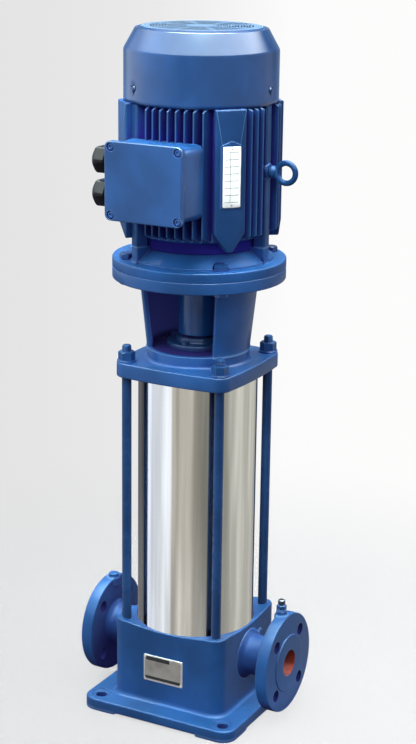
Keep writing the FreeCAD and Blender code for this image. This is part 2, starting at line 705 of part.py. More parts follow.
def impeller(stage):
    z = WELL_Z + stage * STAGE_PITCH
    eye = IMPELLER_EYE_R
    low = z + IMPELLER_LIFT
    roof = low + IMPELLER_SHROUD + IMPELLER_PASSAGE
    front = revolve([(eye, z + 1), (eye + 3, z + 1), (eye + 3, low), (IMPELLER_R, low + 2),
                     (IMPELLER_R, low + 2 + IMPELLER_SHROUD), (eye, low + IMPELLER_SHROUD)])
    back = ring(IMPELLER_R, IMPELLER_HUB_R - 1, roof, roof + IMPELLER_SHROUD)
    hub_low = z - STAGE_PITCH / 6
    hub = ring(IMPELLER_HUB_R, PUMP_SHAFT_R, hub_low, hub_low + STAGE_PITCH)
    blade = arc_blade(eye + 1, IMPELLER_R - 0.5, BLADE_ARC_R, BLADE_THICK, low + 1, roof + 0.5)
    return fuse([front, back, hub] + around(blade, [i * 360 / BLADES for i in range(BLADES)]))


def stage_casing(stage):
    z = WELL_Z + stage * STAGE_PITCH
    wall = ring(BOWL_R, BOWL_R - BOWL_WALL, z, z + STAGE_PITCH)
    floor = ring(BOWL_R - 1, IMPELLER_EYE_R + 3 + WEAR_GAP, z, z + BOWL_FLOOR)
    chamber_top = z + IMPELLER_LIFT + 2 * IMPELLER_SHROUD + IMPELLER_PASSAGE + 4
    diaphragm = ring(IMPELLER_R + 2, IMPELLER_HUB_R + WEAR_GAP, chamber_top, chamber_top + DIAPHRAGM)
    half = GUIDE_VANE_THICK / 2
    vane = box(IMPELLER_EYE_R + 4, BOWL_R - BOWL_WALL + 1, -half, half, chamber_top + 1, z + STAGE_PITCH)
    return fuse([wall, floor, diaphragm] + around(vane, [i * 360 / GUIDE_VANES for i in range(GUIDE_VANES)]))


def pump_shaft():
    top = BRACKET_TOP - MOTOR_SHAFT_END - SHAFT_GAP
    return cylinder(PUMP_SHAFT_R, SUCTION_FLOOR_Z - BUSH_DEPTH, top).cut(key_slot(top - KEY_LENGTH, top, PUMP_SHAFT_R))


def shaft_nut():
    top = WELL_Z - STAGE_PITCH / 6
    return hexagon(NUT_HEX, top - NUT_HEIGHT, top).cut(cylinder(PUMP_SHAFT_R, 0, top))


def lower_bush():
    z = SUCTION_FLOOR_Z
    return ring(PUMP_SHAFT_R + BUSH_WALL, PUMP_SHAFT_R + RUNNING_FIT, z - BUSH_DEPTH, z)


# Rigid coupling between the motor and the pump
def key_slot(z0, z1, shaft_r):
    return box(shaft_r - KEY_RISE, shaft_r + KEY_RISE, -KEY_WIDTH / 2, KEY_WIDTH / 2, z0, z1)


def coupling_sleeve():
    split = BRACKET_TOP - MOTOR_SHAFT_END - SHAFT_GAP / 2
    outside = revolve([(0, COUPLING_Z), (COUPLING_R - 1, COUPLING_Z), (COUPLING_R, COUPLING_Z + 1),
                       (COUPLING_R, COUPLING_TOP - 1), (COUPLING_R - 1, COUPLING_TOP), (0, COUPLING_TOP)])
    body = outside.cut(cylinder(PUMP_SHAFT_R, COUPLING_Z - 1, split))
    body = body.cut(cylinder(MOTOR_SHAFT_R, split, COUPLING_TOP + 1))
    body = body.cut(key_slot(COUPLING_Z - 1, split, PUMP_SHAFT_R))
    body = body.cut(key_slot(split, COUPLING_TOP + 1, MOTOR_SHAFT_R))
    return body.cut(Part.makeCompound(coupling_screw_rods(0)))


def coupling_screw_rods(sunk):
    levels = (COUPLING_Z + COUPLING_SCREW_INSET, COUPLING_TOP - COUPLING_SCREW_INSET)
    return [rod_along((0, 1, 0), COUPLING_SCREW_R, (0, r, z), COUPLING_R - r - sunk)
            for z, r in zip(levels, (PUMP_SHAFT_R, MOTOR_SHAFT_R))]


def coupling_screws():
    return coupling_screw_rods(COUPLING_SCREW_SUNK)


def shaft_keys():
    join = BRACKET_TOP - MOTOR_SHAFT_END
    low = key_slot(join - SHAFT_GAP - KEY_LENGTH, join - SHAFT_GAP, PUMP_SHAFT_R)
    high = key_slot(join, join + KEY_LENGTH, MOTOR_SHAFT_R)
    return [low, high]


# Motor
def drive_end_shield():
    z = BRACKET_TOP
    hub_top = FRAME_Z - 4
    seat = bearing_levels()[0]
    shaft_hole = BEARING_BORE_R + 1
    body = revolve([(shaft_hole, z - MOTOR_SPIGOT), (MOTOR_SPIGOT_R, z - MOTOR_SPIGOT), (MOTOR_SPIGOT_R, z),
                    (MOTOR_FLANGE_R, z), (MOTOR_FLANGE_R, MOTOR_FLANGE_TOP), (END_RING_R, MOTOR_FLANGE_TOP),
                    (END_RING_R, FRAME_Z - 5), (FRAME_R, FRAME_Z - 5), (FRAME_R, FRAME_Z),
                    (FRAME_BORE_R - SEAT_CLEARANCE, FRAME_Z), (FRAME_BORE_R - SEAT_CLEARANCE, FRAME_Z + 4),
                    (END_RING_R - 2, FRAME_Z + 4), (END_RING_R - 8, MOTOR_FLANGE_TOP),
                    (BEARING_R + 10, MOTOR_FLANGE_TOP), (BEARING_R + 8, hub_top), (BEARING_R, hub_top),
                    (BEARING_R, seat), (shaft_hole, seat)])
    leg = box(END_RING_R - 4, RAIL_R, -RAIL_WIDTH / 2, RAIL_WIDTH / 2, MOTOR_FLANGE_TOP - 1, FRAME_Z)
    body = fuse([body] + around(leg, RAIL_ANGLES))
    return body.cut(Part.makeCompound(motor_bolt_circle(MOTOR_BOLT_HOLE_R, z - 1, MOTOR_FLANGE_TOP + 1)))


def bearing_levels():
    """Lower faces of the drive-end and rear bearings."""
    return BRACKET_TOP + BEARING_SEAT_RISE, SHELL_TOP - BEARING_SEAT_DROP


def bearing_outer_rings():
    return [ring(BEARING_R, BEARING_R - BEARING_RING, z, z + BEARING_WIDTH) for z in bearing_levels()]


def bearing_inner_rings():
    """Inner rings, each with its row of balls drawn as a solid bead."""
    return [bearing_inner_ring(z) for z in bearing_levels()]


def bearing_inner_ring(z):
    edge = BEARING_BORE_R + BEARING_RING
    bead = BEARING_R - BEARING_RING - RUNNING_FIT * 2
    mid = z + BEARING_WIDTH / 2
    return revolve([(BEARING_BORE_R, z), (edge, z), (edge, mid - BEARING_WEB / 2), (bead, mid - BEARING_WEB / 2),
                    (bead, mid + BEARING_WEB / 2), (edge, mid + BEARING_WEB / 2), (edge, z + BEARING_WIDTH),
                    (BEARING_BORE_R, z + BEARING_WIDTH)])


def fin(at, tip_r, z0):
    """Upright cooling fin pointing to +X at y = at: tapered, with a sloping foot."""
    tip = math.sqrt(tip_r ** 2 - at ** 2)
    root = math.sqrt(FRAME_BORE_R ** 2 - at ** 2) + 2
    half, thin = FIN_THICK / 2, FIN_TIP_THICK / 2
    plan = face([(root, at - half, z0), (tip, at - thin, z0), (tip, at + thin, z0), (root, at + half, z0)])
    body = plan.extrude(V(0, 0, FRAME_TOP - z0))
    slope = tip - root
    rise = slope * FIN_FOOT_SLOPE
    toe = face([(root, at - half, z0), (tip + 1, at - half, z0), (tip + 1, at - half, z0 + rise)])
    return body.cut(toe.extrude(V(0, FIN_THICK, 0)))


def corner_pad(angle):
    """Wide land: on the right its lower end is a blunt point, on the left it slants down to the front or back."""
    half = math.radians(PAD_HALF_ANGLE)
    inner = FRAME_BORE_R + 2
    width = PAD_R * math.sin(half)
    block = box(inner, PAD_R + 1, -width, width, PAD_FOOT_Z, FRAME_TOP).common(
        cylinder(PAD_R, PAD_FOOT_Z, FRAME_TOP))
    right = math.cos(math.radians(angle)) > 0
    front = math.sin(math.radians(angle)) < 0
    if right:
        ends = [(0, 0, PAD_FOOT_Z - 8), (0, width, PAD_SHOULDER_Z)]
        ends = [(0, -width, PAD_SHOULDER_Z)] + ends
    else:
        low = PAD_SHOULDER_Z - PAD_SLANT
        ends = [(0, -width, PAD_SHOULDER_Z), (0, width, low)]
        if not front:
            ends = [(0, -width, low), (0, width, PAD_SHOULDER_Z)]
    keep = face(ends + [(0, width, FRAME_TOP), (0, -width, FRAME_TOP)]).extrude(V(PAD_R + 2, 0, 0))
    return turned(block.common(keep), angle)


def pad_angles():
    return (PAD_ANGLE, 180 - PAD_ANGLE, 180 + PAD_ANGLE, -PAD_ANGLE)


def motor_frame():
    parts = [cylinder(FRAME_R, FRAME_Z, SHELL_TOP)]
    for k in range(-FINS_LEFT, FINS_RIGHT + 1):
        parts.append(turned(fin(k * FIN_PITCH, FIN_TIP_R, FIN_FOOT_Z), -90))
        parts.append(turned(fin(-k * FIN_PITCH, FIN_TIP_R, FIN_FOOT_Z), 90))
    for k in range(SIDE_FINS):
        at = SIDE_FIN_FIRST + k * SIDE_FIN_PITCH
        for y in (at, -at):
            parts += around(fin(y, FIN_TIP_R - 2, FIN_FOOT_Z), (0, 180))
    for y in (0, SIDE_FIN_PITCH, -SIDE_FIN_PITCH):
        parts.append(turned(fin(y, FIN_TIP_R - 2, FIN_FOOT_Z), 180))
    rail = box(FRAME_BORE_R + 2, RAIL_R, -RAIL_WIDTH / 2, RAIL_WIDTH / 2, FRAME_Z, FRAME_TOP)
    parts += around(rail, RAIL_ANGLES)
    parts += [corner_pad(angle) for angle in pad_angles()]
    parts.append(rod_along((1, 0, 0), EYE_BOSS_R, (RAIL_R - 8, 0, EYE_Z), 8 + EYE_BOSS_RISE))
    parts.append(plate_land())
    frame = fuse(parts)
    room = front_block(BOX_HALF_X + 1, BOX_HALF_Z + 1, BOX_CORNER_R, BOX_BACK, FIN_TIP_R + 1, BOX_Z)
    seat_x, seat_z = BOX_HALF_X - BOX_SEAT_MARGIN, BOX_HALF_Z - BOX_SEAT_MARGIN
    seat = front_block(seat_x, seat_z, BOX_CORNER_R, FRAME_BORE_R / 2, BOX_BACK, BOX_Z)
    frame = fuse([frame.cut(room), seat]).cut(cylinder(FRAME_BORE_R, FRAME_Z - 1, FRAME_TOP + 1))
    frame = frame.cut(cylinder(FRAME_R + SEAT_CLEARANCE, SHELL_TOP, FRAME_TOP + 1))
    tap = EYE_X - EYE_RING_R - EYE_SECTION_R
    return frame.cut(rod_along((1, 0, 0), EYE_SHANK_R, (RAIL_R - 6, 0, EYE_Z), tap))


def plate_land():
    """Raised land for the motor nameplate, with a pointed top."""
    half = MOTOR_PLATE_WIDTH / 2 + PLATE_LAND_MARGIN
    low = MOTOR_PLATE_Z - MOTOR_PLATE_HEIGHT / 2 - PLATE_LAND_MARGIN
    high = MOTOR_PLATE_Z + MOTOR_PLATE_HEIGHT / 2 + PLATE_LAND_MARGIN
    outline = face([(0, -half, low), (0, half, low), (0, half, high), (0, 0, high + 6), (0, -half, high)])
    land = outline.extrude(V(PLATE_LAND + 6, 0, 0))
    land.translate(V(PAD_R - 6, 0, 0))
    return turned(land, -PAD_ANGLE)


def motor_nameplate():
    half = MOTOR_PLATE_WIDTH / 2
    x = PAD_R + PLATE_LAND
    plate = box(x, x + PLATE_SHEET, -half, half, MOTOR_PLATE_Z - MOTOR_PLATE_HEIGHT / 2,
                MOTOR_PLATE_Z + MOTOR_PLATE_HEIGHT / 2)
    return turned(plate, -PAD_ANGLE)


def pump_nameplate():
    half_x, half_z = PUMP_PLATE_WIDTH / 2, PUMP_PLATE_HEIGHT / 2
    return box(PUMP_PLATE_X - half_x, PUMP_PLATE_X + half_x, -BODY_HALF - PLATE_SHEET, -BODY_HALF,
               PUMP_PLATE_Z - half_z, PUMP_PLATE_Z + half_z)


def nameplate_rivets():
    heads = []
    dx, dz = PUMP_PLATE_WIDTH / 2 - RIVET_INSET, PUMP_PLATE_HEIGHT / 2 - RIVET_INSET
    for x in (-dx, dx):
        for z in (-dz, dz):
            heads.append(rod_along((0, -1, 0), RIVET_R, (PUMP_PLATE_X + x, -BODY_HALF - PLATE_SHEET, PUMP_PLATE_Z + z),
                                   RIVET_HEAD))
    x = PAD_R + PLATE_LAND + PLATE_SHEET
    for z in (-1, 1):
        at = MOTOR_PLATE_Z + z * (MOTOR_PLATE_HEIGHT / 2 - RIVET_INSET)
        heads.append(turned(rod_along((1, 0, 0), RIVET_R, (x, 0, at), RIVET_HEAD), -PAD_ANGLE))
    return heads


def rear_end_shield():
    z = SHELL_TOP
    seat = bearing_levels()[1]
    spigot = FRAME_BORE_R - SEAT_CLEARANCE
    body = revolve([(BEARING_BORE_R + 1, seat + BEARING_WIDTH), (BEARING_R, seat + BEARING_WIDTH),
                    (BEARING_R, seat), (BEARING_R + 7, seat), (BEARING_R + 9, z), (spigot - 8, z),
                    (spigot - 8, z - 4), (spigot, z - 4), (spigot, z), (FRAME_R, z), (FRAME_R, z + 8),
                    (BEARING_R + 12, z + 8), (BEARING_R + 4, z + 12), (BEARING_BORE_R + 1, z + 12)])
    inner = COVER_R - COVER_SHEET
    stem = box(FRAME_R - 7, FRAME_R - 1, -LUG_HALF, LUG_HALF, z + 2, COVER_SCREW_Z)
    head = box(FRAME_R - 7, inner + 1, -LUG_HALF, LUG_HALF, FRAME_TOP + 1, COVER_SCREW_Z + LUG_HALF)
    lug = fuse([stem, head]).common(cylinder(inner, z, COVER_SCREW_Z + LUG_HALF))
    lug = lug.cut(rod_along((1, 0, 0), COVER_SCREW_R, (inner - 9, 0, COVER_SCREW_Z), 10))
    return fuse([body] + around(lug, COVER_SCREW_ANGLES))


def fan_cover():
    t = COVER_SHEET
    round_r = 6.0
    outer = revolve([(0, FRAME_TOP), (COVER_R, FRAME_TOP), (COVER_R, COVER_SHOULDER_Z),
                     (COVER_TOP_R + round_r * 0.4, COVER_TOP_Z - round_r * 0.9),
                     (COVER_TOP_R - round_r * 0.5, COVER_TOP_Z), (0, COVER_TOP_Z)])
    inner = revolve([(0, FRAME_TOP - 1), (COVER_R - t, FRAME_TOP - 1), (COVER_R - t, COVER_SHOULDER_Z - t / 2),
                     (COVER_TOP_R + round_r * 0.4 - t, COVER_TOP_Z - round_r * 0.9 - t / 2),
                     (COVER_TOP_R - round_r * 0.5 - t, COVER_TOP_Z - t), (0, COVER_TOP_Z - t)])
    shell = outer.cut(inner)
    slots = []
    for row in range(GRILLE_ROWS):
        r = GRILLE_FIRST_R + row * GRILLE_PITCH
        slot = ring(r + GRILLE_SLOT / 2, r - GRILLE_SLOT / 2, COVER_TOP_Z - 3, COVER_TOP_Z + 1)
        wedge = face([(0, 0, COVER_TOP_Z - 3),
                      (2 * r, 2 * r * math.tan(math.radians(GRILLE_SLOT_ANGLE / 2)), COVER_TOP_Z - 3),
                      (2 * r, -2 * r * math.tan(math.radians(GRILLE_SLOT_ANGLE / 2)), COVER_TOP_Z - 3)])
        slot = slot.common(wedge.extrude(V(0, 0, 4)))
        slots += around(slot, [i * 360 / GRILLE_SLOTS for i in range(GRILLE_SLOTS)])
    holes = around(rod_along((1, 0, 0), COVER_SCREW_R + 0.2, (COVER_R - 6, 0, COVER_SCREW_Z), 8),
                   COVER_SCREW_ANGLES)
    return shell.cut(Part.makeCompound(slots + holes))


def fan_cover_screws():
    shank = rod_along((1, 0, 0), COVER_SCREW_R, (COVER_R - COVER_SHEET - 8, 0, COVER_SCREW_Z), 8 + COVER_SHEET)
    head = rod_along((1, 0, 0), COVER_SCREW_R * 1.8, (COVER_R + 0.2, 0, COVER_SCREW_Z), 3.0)
    neck = rod_along((1, 0, 0), COVER_SCREW_R, (COVER_R - 1, 0, COVER_SCREW_Z), 2)
    return around(fuse([shank, neck, head]), COVER_SCREW_ANGLES)


def cooling_fan():
    hub = ring(24, MOTOR_SHAFT_R, FAN_Z, FAN_Z + FAN_HEIGHT)
    disc = ring(FAN_R, 20, FAN_Z, FAN_Z + FAN_SHEET)
    blade = box(20, FAN_R - 2, -FAN_SHEET / 2, FAN_SHEET / 2, FAN_Z, FAN_Z + FAN_HEIGHT)
    return fuse([hub, disc] + around(blade, [i * 360 / FAN_BLADES for i in range(FAN_BLADES)]))


def stator_core():
    return ring(FRAME_BORE_R, STATOR_BORE_R, STATOR_Z, STATOR_Z + STATOR_LENGTH)


def stator_windings():
    outer, inner = FRAME_BORE_R - 9, STATOR_BORE_R + 5
    top = STATOR_Z + STATOR_LENGTH
    return [ring(outer, inner, STATOR_Z - WINDING_OVERHANG, STATOR_Z),
            ring(outer, inner, top, top + WINDING_OVERHANG)]


def rotor_core():
    return ring(STATOR_BORE_R - AIR_GAP, ROTOR_SHAFT_R, STATOR_Z, STATOR_Z + STATOR_LENGTH)


def motor_shaft():
    low = BRACKET_TOP - MOTOR_SHAFT_END
    bearing_low = bearing_levels()[0]
    body_low = bearing_low + BEARING_WIDTH
    body_top = bearing_levels()[1]
    shaft = revolve([(0, low), (MOTOR_SHAFT_R - 1, low), (MOTOR_SHAFT_R, low + 1),
                     (MOTOR_SHAFT_R, bearing_low - 2), (BEARING_BORE_R, bearing_low - 2),
                     (BEARING_BORE_R, body_low), (ROTOR_SHAFT_R, body_low), (ROTOR_SHAFT_R, body_top),
                     (BEARING_BORE_R, body_top), (BEARING_BORE_R, body_top + BEARING_WIDTH),
                     (MOTOR_SHAFT_R, body_top + BEARING_WIDTH), (MOTOR_SHAFT_R, FAN_Z + FAN_HEIGHT - 4),
                     (0, FAN_Z + FAN_HEIGHT - 4)])
    return shaft.cut(key_slot(low, low + KEY_LENGTH, MOTOR_SHAFT_R))


# Terminal box, its lid, board and glands
def terminal_box():
    outer = front_block(BOX_HALF_X, BOX_HALF_Z, BOX_CORNER_R, BOX_BACK, BOX_FRONT, BOX_Z)
    inner = front_block(BOX_HALF_X - BOX_WALL, BOX_HALF_Z - BOX_WALL, BOX_CORNER_R - BOX_WALL,
                        BOX_BACK + BOX_WALL, BOX_FRONT + 1, BOX_Z)
    box_body = outer.cut(inner)
    posts = [rod_along((0, -1, 0), BOX_POST_R, (x, -BOX_BACK, z), BOX_DEPTH) for x, z in lid_screws_at()]
    room = front_block(BOX_HALF_X - 1, BOX_HALF_Z - 1, BOX_CORNER_R - 1, BOX_BACK + 1, BOX_FRONT, BOX_Z)
    box_body = fuse([box_body] + [post.common(room) for post in posts])
    for x, z in lid_screws_at():
        box_body = box_body.cut(rod_along((0, -1, 0), LID_SCREW_R, (x, -BOX_FRONT + 14, z), 15))
    for z in gland_levels():
        box_body = box_body.cut(rod_along((-1, 0, 0), GLAND_THREAD_R, (-BOX_HALF_X + 2 * BOX_WALL, -GLAND_Y, z),
                                          2 * BOX_WALL + 1))
    return box_body


def gland_levels():
    return (BOX_Z + GLAND_SPACING / 2, BOX_Z - GLAND_SPACING / 2)


def lid_screws_at():
    dx, dz = LID_HALF_X - LID_SCREW_INSET, LID_HALF_Z - LID_SCREW_INSET
    return [(x, BOX_Z + z) for x in (-dx, dx) for z in (-dz, dz)]


def terminal_box_lid():
    slab = front_block(LID_HALF_X, LID_HALF_Z, LID_CORNER_R, BOX_FRONT, LID_FRONT - LID_BEVEL, BOX_Z)
    low = rounded_outline(LID_HALF_X, LID_HALF_Z, LID_CORNER_R)
    high = rounded_outline(LID_HALF_X - LID_BEVEL, LID_HALF_Z - LID_BEVEL, LID_CORNER_R - LID_BEVEL)
    low.translate(V(0, 0, LID_FRONT - LID_BEVEL))
    high.translate(V(0, 0, LID_FRONT))
    bevel = Part.makeLoft([low, high], True, True)
    bevel.rotate(V(0, 0, 0), V(1, 0, 0), 90)
    bevel.translate(V(0, 0, BOX_Z))
    lid = slab.fuse(bevel)
    inner = front_block(LID_HALF_X - LID_WALL, LID_HALF_Z - LID_WALL, LID_CORNER_R / 2, BOX_FRONT - 1,
                        LID_FRONT - BOX_WALL, BOX_Z)
    corners = [rod_along((0, -1, 0), LID_RECESS_R + 2, (x, -BOX_FRONT + 2, z), LID_THICK + 2)
               for x, z in lid_screws_at()]
    lid = lid.cut(inner.cut(Part.makeCompound(corners)))
    for x, z in lid_screws_at():
        lid = lid.cut(rod_along((0, -1, 0), LID_SCREW_R + 0.2, (x, -BOX_FRONT + 1, z), 20))
        lid = lid.cut(rod_along((0, -1, 0), LID_RECESS_R, (x, -LID_FRONT + LID_RECESS + 1, z), 10))
    return lid


def lid_screws():
    seat = LID_FRONT - LID_RECESS - 1
    screws = []
    for x, z in lid_screws_at():
        shank = rod_along((0, -1, 0), LID_SCREW_R, (x, -BOX_FRONT + 12, z), seat - BOX_FRONT + 12)
        head = rod_along((0, -1, 0), LID_SCREW_HEAD_R, (x, -seat, z), LID_SCREW_HEAD)
        screws.append(shank.fuse(head))
    return screws


def terminal_board():
    back = BOX_BACK + BOX_WALL
    return box(-BOARD_HALF_X, BOARD_HALF_X, -back - BOARD_THICK, -back, BOX_Z - BOARD_HALF_Z, BOX_Z + BOARD_HALF_Z)


def terminal_studs():
    top = BOX_BACK + BOX_WALL + BOARD_THICK
    studs = []
    for x in (-STUD_PITCH_X, 0, STUD_PITCH_X):
        for z in (-STUD_PITCH_Z / 2, STUD_PITCH_Z / 2):
            stud = rod_along((0, -1, 0), 2.5, (x, -top, BOX_Z + z), 14)
            nut = rod_along((0, -1, 0), 4.5, (x, -top, BOX_Z + z), 5)
            studs.append(stud.fuse(nut))
    return studs


def gland_body(z):
    """Threaded end inside the box wall, then the hexagon outside it."""
    start = -BOX_HALF_X
    thread = rod_along((1, 0, 0), GLAND_THREAD_R, (start, -GLAND_Y, z), BOX_WALL + 2)
    body = rod_along((-1, 0, 0), GLAND_R, (start, -GLAND_Y, z), GLAND_BODY)
    bore = rod_along((-1, 0, 0), GLAND_BORE_R, (start + BOX_WALL + 3, -GLAND_Y, z), GLAND_BODY + 2 * BOX_WALL)
    return thread.fuse(body).cut(bore)


def gland_cap(z):
    start = -BOX_HALF_X - GLAND_BODY
    body = rod_along((-1, 0, 0), GLAND_CAP_R, (start, -GLAND_Y, z), GLAND_CAP - 4)
    nose = Part.makeCone(GLAND_CAP_R, GLAND_CAP_R - 4, 4, V(start - GLAND_CAP + 4, -GLAND_Y, z), V(-1, 0, 0))
    bore = rod_along((-1, 0, 0), GLAND_BORE_R, (start + 1, -GLAND_Y, z), GLAND_CAP + 2)
    return body.fuse(nose).cut(bore)


def lifting_eye():
    base = RAIL_R + EYE_BOSS_RISE
    loop = Part.makeTorus(EYE_RING_R, EYE_SECTION_R, V(EYE_X, 0, EYE_Z), V(0, 1, 0))
    shank = rod_along((1, 0, 0), EYE_SHANK_R, (RAIL_R - 5, 0, EYE_Z), EYE_X - EYE_RING_R - RAIL_R + 5)
    collar = rod_along((1, 0, 0), EYE_BOSS_R - 2.5, (base, 0, EYE_Z), 3.5)
    return fuse([loop, shank, collar])


def single_nodes():
    return {
        "pump_body": pump_body(), "inlet_branch": port_branch(-1), "outlet_branch": port_branch(1),
        "outer_sleeve": outer_sleeve(),
        "motor_stool": motor_stool(), "seal_gland": seal_gland(), "seal_seat": seal_seat(),
        "seal_head": seal_head(), "pump_shaft": pump_shaft(), "shaft_nut": shaft_nut(),
        "lower_bush": lower_bush(), "coupling_sleeve": coupling_sleeve(),
        "drive_end_shield": drive_end_shield(), "motor_frame": motor_frame(),
        "rear_end_shield": rear_end_shield(), "stator_core": stator_core(), "rotor_core": rotor_core(),
        "motor_shaft": motor_shaft(), "cooling_fan": cooling_fan(), "fan_cover": fan_cover(),
        "terminal_box": terminal_box(), "terminal_box_lid": terminal_box_lid(),
        "terminal_board": terminal_board(), "lifting_eye": lifting_eye(),
        "pump_nameplate": pump_nameplate(), "motor_nameplate": motor_nameplate(),
    }


def grouped_nodes():
    """Identical fasteners and split pieces that share a node."""
    return {
        "sleeve_gaskets": sleeve_gaskets(), "bearing_outer_rings": bearing_outer_rings(),
        "bearing_inner_rings": bearing_inner_rings(), "screw_plugs": screw_plugs(), "tie_rods": tie_rods(), "tie_rod_washers": tie_rod_washers(),
        "tie_rod_nuts": tie_rod_nuts(), "seal_gland_bolts": seal_gland_bolts(), "motor_bolts": motor_bolts(),
        "motor_bolt_nuts": motor_bolt_nuts(), "coupling_screws": coupling_screws(), "shaft_keys": shaft_keys(),
        "stator_windings": stator_windings(), "fan_cover_screws": fan_cover_screws(),
        "lid_screws": lid_screws(), "terminal_studs": terminal_studs(), "nameplate_rivets": nameplate_rivets(),
    }


def repeated_nodes():
    nodes = {}
    for stage in range(STAGES):
        nodes["impeller_%d" % (stage + 1)] = impeller(stage)
        nodes["stage_casing_%d" % (stage + 1)] = stage_casing(stage)
    for name, z in zip(("upper", "lower"), gland_levels()):
        nodes["cable_gland_" + name] = gland_body(z)
        nodes["gland_cap_" + name] = gland_cap(z)
    return nodes


os.makedirs("parts", exist_ok=True)
shapes = single_nodes()
shapes.update(repeated_nodes())
for name, solids in grouped_nodes().items():
    shapes[name] = Part.makeCompound(solids)
for name, shape in shapes.items():
    shape.exportStep("parts/" + name + ".step")
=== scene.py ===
import math

import bmesh
import bpy
import numpy as np
from mathutils import Matrix, Vector


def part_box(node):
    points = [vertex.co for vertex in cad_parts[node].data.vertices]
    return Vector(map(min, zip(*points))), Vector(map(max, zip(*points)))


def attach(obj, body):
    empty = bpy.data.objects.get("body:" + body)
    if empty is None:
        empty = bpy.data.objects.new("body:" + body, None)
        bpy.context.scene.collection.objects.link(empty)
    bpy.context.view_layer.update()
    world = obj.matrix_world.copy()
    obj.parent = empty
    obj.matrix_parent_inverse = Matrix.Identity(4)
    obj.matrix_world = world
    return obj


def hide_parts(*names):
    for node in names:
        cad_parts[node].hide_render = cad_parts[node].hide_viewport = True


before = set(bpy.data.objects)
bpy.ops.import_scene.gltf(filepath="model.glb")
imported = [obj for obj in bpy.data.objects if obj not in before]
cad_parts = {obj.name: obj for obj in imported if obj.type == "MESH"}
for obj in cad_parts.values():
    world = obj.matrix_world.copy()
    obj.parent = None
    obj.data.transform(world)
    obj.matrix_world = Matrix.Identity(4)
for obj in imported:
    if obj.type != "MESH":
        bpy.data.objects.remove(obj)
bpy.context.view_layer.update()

# Lengths are in millimetres until a piece's mesh is made, which is in metres.
MM = 0.001
TURN = 2 * math.pi
QUARTER = math.pi / 2
SHARP_EDGE = math.radians(32.0)
BODY = "pump"
ROTOR = "rotor"
CORNERS = np.radians([45.0, 135.0, 225.0, 315.0])


def span(node):
    """Lowest and highest corners of a CAD node, in millimetres."""
    low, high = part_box(node)
    return np.array(low) / MM, np.array(high) / MM


def heights(node):
    """Heights of a CAD node's lowest and highest points."""
    low, high = span(node)
    return low[2], high[2]


def reach_of(node):
    """How far a CAD node reaches towards +X."""
    return span(node)[1][0]


# Pump body
FOOT_HALF = reach_of("pump_body")
FOOT_THICK = 18.0
FOOT_RELIEF = 3.0
FOOT_CORNER_R = 22.0
FOOT_LOW_EDGE = 1.2
FOOT_TOP_EDGE = 3.0
FOOT_PAD = 58.0
FOOT_HOLE_AT = 104.0
FOOT_HOLES = [(x, y) for x in (-FOOT_HOLE_AT, FOOT_HOLE_AT) for y in (-FOOT_HOLE_AT, FOOT_HOLE_AT)]
FOOT_HOLE_R = 8.5
FOOT_SPOT_R = 16.0
FOOT_SPOT_Z = FOOT_THICK - 1.5
BARREL_HALF = 92.0
BARREL_CORNER_R = 20.0
BASE_FILLET = 8.0
RIM_EDGE = 2.2
WELL_Z = 123.0
PORT_Z = 88.0
PORT_FACE = reach_of("outlet_branch")
PORT_R = 75.0
PORT_THICK = 18.0
PORT_RISE = 2.0
PORT_FACE_R = 43.0
PORT_BORE_R = 20.0
PORT_BORE_END = 62.0
PORT_NECK_R = 30.0
PORT_NECK_START = 58.0
PORT_WELL_R = 25.0
PORT_WELL_START = 64.0
PORT_BOLT_CIRCLE_R = 55.0
PORT_BOLT_R = 9.0
BOSS_R = 8.0
BOSS_TOP = heights("outlet_branch")[1]
PLUG_BASE_R = 7.5
PLUG_STEM_R = 4.2
PLUG_CAP_R = 5.4
PLUG_ACROSS = 13.0
PLUG_X = reach_of("screw_plugs") - PLUG_BASE_R
DRAIN_R = 12.0
DRAIN_Z = 40.0
BUMP_R = 12.0
BUMP_Y = 34.0
BUMP_Z = 104.0

# Sleeve and tie rods
SLEEVE_R = reach_of("outer_sleeve")
SLEEVE_WALL = 3.0
SLEEVE_LOW, SLEEVE_TOP = heights("outer_sleeve")
ROD_R = 7.0
ROD_AT = reach_of("tie_rods") - ROD_R
ROD_LOW, ROD_TOP = heights("tie_rods")
ROD_PITCH = 2.0
ROD_THREAD = 0.9
ROD_NUT_ACROSS = 21.5
ROD_NUT_LOW, ROD_NUT_TOP = heights("tie_rod_nuts")
WASHER_R = 14.0
WASHER_LOW, WASHER_TOP = heights("tie_rod_washers")

# Radius and height along the barrel's turned top, from the sleeve outwards
DISH = ((SLEEVE_R + 1.5, 134.0), (96.0, 135.5), (112.0, 139.5))

# Stool, coupling and seal gland
PLATE_HALF = 92.0
PLATE_CORNER_R = 20.0
PLATE_BULGE = 4.0
PLATE_EDGE = 2.5
PLATE_LOW = 517.0
PLATE_TOP = 539.0
STOOL_FLOOR = 557.0
STOOL_TOP = heights("motor_stool")[1]
STOOL_RING_R = 75.0
STOOL_TOP_R = 86.0
STOOL_WALL = 8.0
RING_FILLET = 6.0
RING_EDGE = 2.0
BRACKET_LOW = 659.0
FLANGE_R = reach_of("motor_stool")
WINDOW_HALF = math.radians(45.0)
WINDOW_HEAD = 8.0
FLARE_HEIGHT = 8.0
FLARE = 5.0
WALL_FOOT_HEIGHT = 5.0
WALL_FOOT = 0.6
COUPLING_R = reach_of("coupling_sleeve")
COUPLING_LOW, COUPLING_TOP = heights("coupling_sleeve")
GLAND_R = reach_of("seal_gland")
GLAND_LOW, GLAND_TOP = heights("seal_gland")
GLAND_SPIGOT_R = 27.0
GLAND_NECK_R = 34.0
GLAND_BORE_R = 13.0
GLAND_RIM_Z = STOOL_FLOOR + 8.0
GLAND_BOLT_AT = 40.0
GLAND_BOLT_ACROSS = 9.0
GLAND_BOLT_HEAD = 5.0

